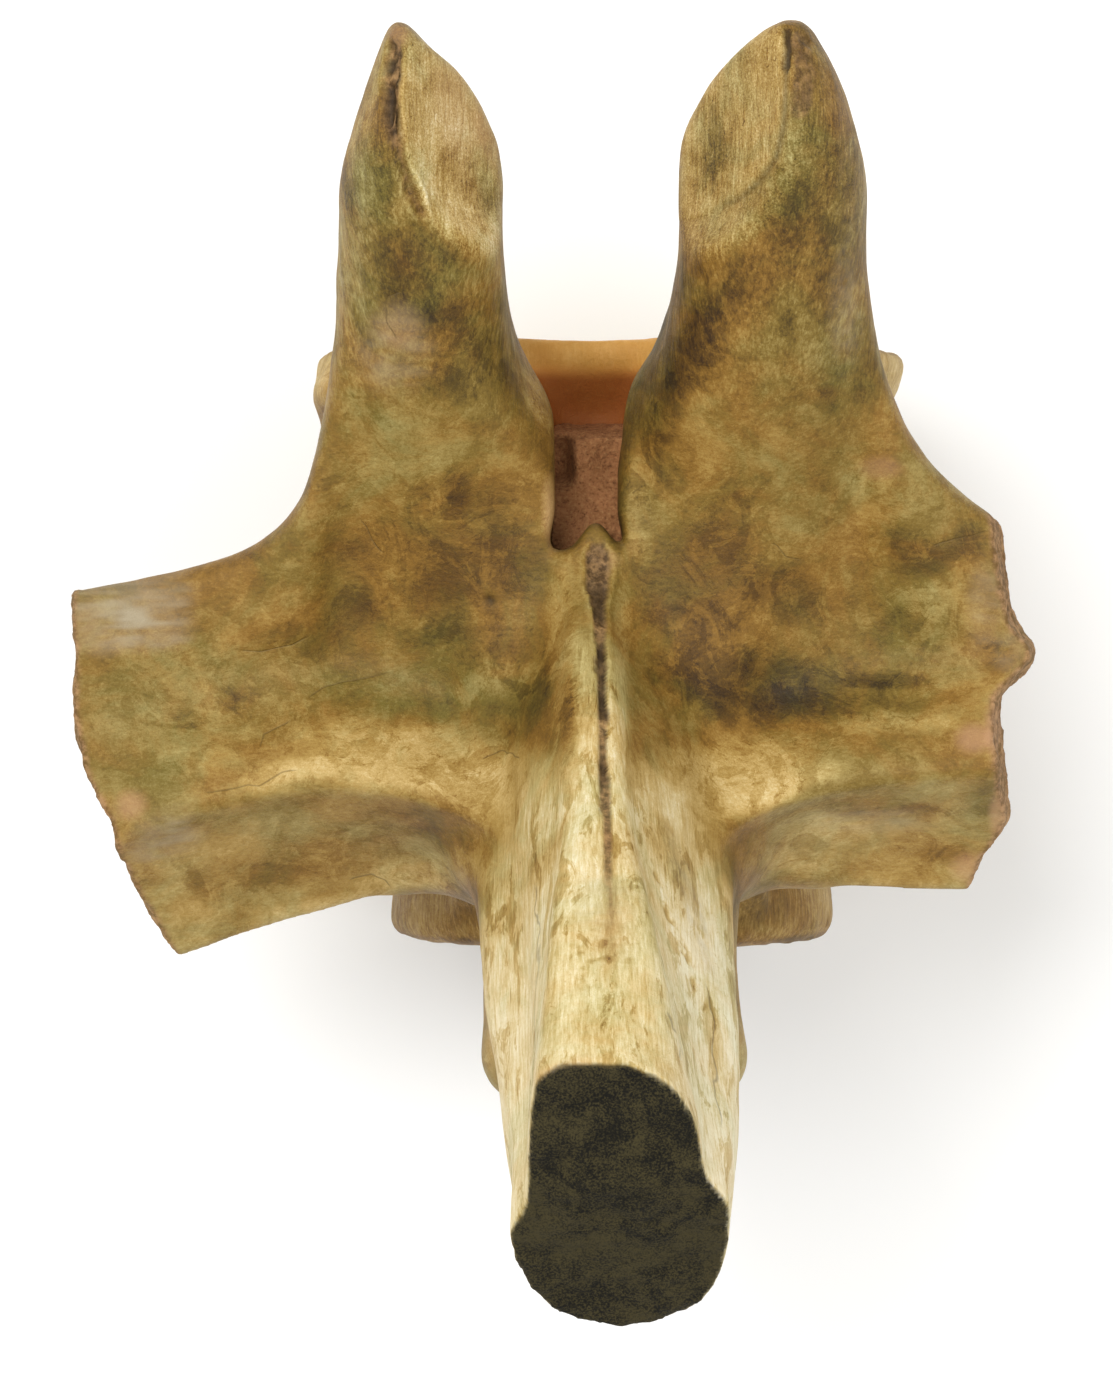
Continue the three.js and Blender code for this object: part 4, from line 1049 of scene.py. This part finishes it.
# Sandstone: reddish brown iron-stained sand grains about half a millimetre across, left as they
# were dug. The eye sees a dull, gritty, mauve-brown fill.
def stone_finish():
    finish, tree = start_finish("iron_sandstone")
    place = add(tree, "TexCoord", out="Object")
    mm = add(tree, "VectorMath", {0: place, "Scale": 1000.0}, operation="SCALE")
    clouds = add(tree, "TexNoise", {"Vector": mm, "Scale": 0.22, "Detail": 5.0, "Roughness": 0.6})
    grains = add(tree, "TexVoronoi", {"Vector": mm, "Scale": 1.1, "Randomness": 1.0})
    sand = add(tree, "TexNoise", {"Vector": mm, "Scale": 1.3, "Detail": 5.0, "Roughness": 0.7})
    share = add(tree, "MapRange", (clouds, 0.35, 0.65))
    body = add(tree, "Mix", {0: share, 6: colour("#8f5f38"), 7: colour("#a87248")}, **BLEND)
    for start, end, most, shade in ((0.50, 0.70, 0.6, "#c2925f"), (0.46, 0.34, 0.7, "#55321b")):
        share = add(tree, "MapRange", (sand, start, end, 0.0, most))
        body = add(tree, "Mix", {0: share, 6: body, 7: colour(shade)}, **BLEND)
    height = add(tree, "Math", (grains, -0.4, sand), operation="MULTIPLY_ADD")
    bump = add(tree, "Bump", {"Height": height, "Strength": 0.8, "Distance": 0.0008})
    shader = add(tree, "BsdfPrincipled", {"Base Color": body, "Roughness": 0.9, "IOR": 1.5,
                                          "Specular IOR Level": 0.25, "Normal": bump})
    add(tree, "OutputMaterial", {"Surface": shader}, out=None)
    return finish


# Matt painted board: an even, pale studio floor whose faint mottling keeps it from looking flat.
def floor_finish(shade):
    finish, tree = start_finish("matt_painted_board")
    place = add(tree, "TexCoord", out="Object")
    cloud = add(tree, "TexNoise", {"Vector": place, "Scale": 3.0, "Detail": 2.0})
    share = add(tree, "MapRange", {0: cloud, 3: 0.0, 4: 0.04})
    body = add(tree, "Mix", {0: share, 6: colour(shade), 7: colour("#e9e7e2")}, **BLEND)
    shader = add(tree, "BsdfPrincipled", {"Base Color": body, "Roughness": 0.9, "IOR": 1.5})
    add(tree, "OutputMaterial", {"Surface": shader}, out=None)
    return finish


# ---------------------------------------------------------------- pieces
# Boxes that the nets are laid in, and how often a net is halved down to its spacing
BONE_BOX = ((-108, -128, -6), (90, 122, 241))
STONE_BOX = ((-20, -50, 96), (14, 50, 130))
HALVINGS = 3
# The floor, metres: its radius and how far it lies below the bone; and its rings and spokes
FLOOR_REACH, FLOOR_SINK = 6.0, 0.0003
FLOOR_RINGS, FLOOR_SPOKES = 6, 48
# The soft lamps, metres: place and width of each, and what they all point at
LAMPS = {"key": ((-0.45, 0.50, 1.5), 0.9), "fill": ((0.6, -0.35, 1.4), 1.1)}
LAMP_AIM = (0, 0, 0.1)
# Width of the camera's film, which lies along the picture's longer side, millimetres
FILM = 36.0


def inside_box(points, node):
    """Points kept within the box of the CAD node that they stand for."""
    low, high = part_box(node)
    return np.clip(points, np.array(low) / MM - PLACE, np.array(high) / MM - PLACE)


class BoneSizes(bpy.types.PropertyGroup):
    net: FloatProperty(name="Net", description="Spacing of the bone's mesh, mm", default=0.70,
                       min=0.5, max=3.0)
    relief: FloatProperty(name="Relief", description="Depth of the surface detail, 1 is life",
                          default=1.0, min=0.0, max=2.0, subtype="FACTOR")


class StoneSizes(bpy.types.PropertyGroup):
    net: FloatProperty(name="Net", description="Spacing of the stone's mesh, mm", default=0.5,
                       min=0.3, max=2.0)
    grit: FloatProperty(name="Grit", description="Height of the sand grains, mm", default=0.3,
                        min=0.0, max=1.0)


class StageSizes(bpy.types.PropertyGroup):
    floor_shade: FloatVectorProperty(name="Floor", description="Colour of the floor", size=3,
                                     subtype="COLOR", default=linear("#fcfcfb"), min=0, max=1)
    key_power: FloatProperty(name="Key light", description="Power of the large soft light",
                             default=17.0, min=0.0, unit="POWER")
    fill_power: FloatProperty(name="Fill light", description="Power of the light opposite",
                              default=7.0, min=0.0, unit="POWER")
    sky: FloatProperty(name="Room light", description="Strength of the light from all round",
                       default=0.66, min=0.0)


class VERTEBRA_OT_bone(bpy.types.Operator):
    """Nets the bone, works its surface and finishes it"""

    bl_idname = "vertebra.bone"
    bl_label = "Bone"

    def execute(self, context):
        sizes = context.scene.vertebra_bone
        points, faces = net_over(standing_bone, *BONE_BOX, sizes.net * 2**HALVINGS, HALVINGS)
        points = relaxed(points, faces, 2)
        normals = smooth_normals(points, faces)
        out, marks = mark_bone(points, normals)
        flat = ramp(points[:, 2], 0.05, 1.2)
        points = points + normals * (sizes.relief * out * flat)[:, None]
        points = inside_box(points, "vertebra")
        piece = make_mesh("bone", points, faces, marks)
        piece.data.materials.append(bone_finish())
        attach(piece, "root")
        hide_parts("vertebra")
        return {"FINISHED"}


class VERTEBRA_OT_canal_stone(bpy.types.Operator):
    """Nets the sandstone left in the neural canal and finishes it"""

    bl_idname = "vertebra.canal_stone"
    bl_label = "Canal stone"

    def execute(self, context):
        sizes = context.scene.vertebra_stone
        points, faces = net_over(canal_stone, *STONE_BOX, sizes.net * 2**HALVINGS, HALVINGS)
        points = relaxed(points, faces, 1)
        normals = smooth_normals(points, faces)
        grit = rough(*points.T, 2.2, 111, 3, 0.75)
        points = points + normals * (sizes.grit * grit)[:, None]
        piece = make_mesh("canal_sandstone", points, faces, {})
        piece.data.materials.append(stone_finish())
        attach(piece, "root")
        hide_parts("canal_matrix")
        return {"FINISHED"}


class VERTEBRA_OT_stage(bpy.types.Operator):
    """Lays the pale floor, hangs the soft lights and sets the camera straight above"""

    bl_idname = "vertebra.stage"
    bl_label = "Stage"

    def execute(self, context):
        sizes = context.scene.vertebra_stage
        scene = context.scene
        mesh = bpy.data.meshes.new("floor")
        points = [(0.0, 0.0, -FLOOR_SINK)]
        for ring in range(1, FLOOR_RINGS + 1):
            away = FLOOR_REACH * (ring / FLOOR_RINGS) ** 2
            for spoke in range(FLOOR_SPOKES):
                turn = 2 * math.pi * spoke / FLOOR_SPOKES
                points.append((away * math.cos(turn), away * math.sin(turn), -FLOOR_SINK))
        pairs = [(s, (s + 1) % FLOOR_SPOKES) for s in range(FLOOR_SPOKES)]
        faces = [(0, 1 + s, 1 + t) for s, t in pairs]
        for a in range(1, 1 + (FLOOR_RINGS - 1) * FLOOR_SPOKES, FLOOR_SPOKES):
            b = a + FLOOR_SPOKES
            faces += [(a + s, b + s, b + t, a + t) for s, t in pairs]
        mesh.from_pydata(points, [], faces)
        floor = bpy.data.objects.new("floor", mesh)
        floor.data.materials.append(floor_finish(tuple(sizes.floor_shade)))
        scene.collection.objects.link(floor)

        for name, power in (("key", sizes.key_power), ("fill", sizes.fill_power)):
            place, width = LAMPS[name]
            light = bpy.data.lights.new(name, "AREA")
            light.energy, light.size, light.shape = power, width, "DISK"
            lamp = bpy.data.objects.new(name, light)
            lamp.location = place
            aim = Vector(LAMP_AIM) - lamp.location
            lamp.rotation_euler = aim.to_track_quat("-Z", "Y").to_euler()
            scene.collection.objects.link(lamp)

        world = bpy.data.worlds.new("room")
        world.use_nodes = True
        room = world.node_tree.nodes["Background"]
        room.inputs["Color"].default_value = colour("#fbfbfa")
        room.inputs["Strength"].default_value = sizes.sky
        scene.world = world
        scene.view_settings.view_transform = "Standard"

        eye = bpy.data.cameras.new("camera")
        eye.sensor_width = FILM
        eye.lens = FILM * FOCAL / max(PICTURE)
        eye.clip_start = 0.05
        camera = bpy.data.objects.new("camera", eye)
        camera.location = tuple((np.array(EYE) + PLACE) * MM)
        scene.collection.objects.link(camera)
        scene.camera = camera
        return {"FINISHED"}


class VERTEBRA_PT_pieces(bpy.types.Panel):
    bl_label = "Vertebra"
    bl_idname = "VERTEBRA_PT_pieces"
    bl_space_type = "VIEW_3D"
    bl_region_type = "UI"
    bl_category = "Vertebra"

    def draw(self, context):
        scene = context.scene
        for group, names, operator in (
                (scene.vertebra_bone, ("net", "relief"), VERTEBRA_OT_bone),
                (scene.vertebra_stone, ("net", "grit"), VERTEBRA_OT_canal_stone),
                (scene.vertebra_stage, ("floor_shade", "key_power", "fill_power", "sky"),
                 VERTEBRA_OT_stage)):
            box = self.layout.box()
            for name in names:
                box.prop(group, name)
            box.operator(operator.bl_idname)


CLASSES = (BoneSizes, StoneSizes, StageSizes, VERTEBRA_OT_bone, VERTEBRA_OT_canal_stone,
           VERTEBRA_OT_stage, VERTEBRA_PT_pieces)


def register():
    for each in CLASSES:
        bpy.utils.register_class(each)
    bpy.types.Scene.vertebra_bone = PointerProperty(type=BoneSizes)
    bpy.types.Scene.vertebra_stone = PointerProperty(type=StoneSizes)
    bpy.types.Scene.vertebra_stage = PointerProperty(type=StageSizes)


def unregister():
    del bpy.types.Scene.vertebra_bone
    del bpy.types.Scene.vertebra_stone
    del bpy.types.Scene.vertebra_stage
    for each in reversed(CLASSES):
        bpy.utils.unregister_class(each)


def main():
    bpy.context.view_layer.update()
    register()
    bpy.ops.vertebra.bone()
    bpy.ops.vertebra.canal_stone()
    bpy.ops.vertebra.stage()


if __name__ == "__main__":
    main()
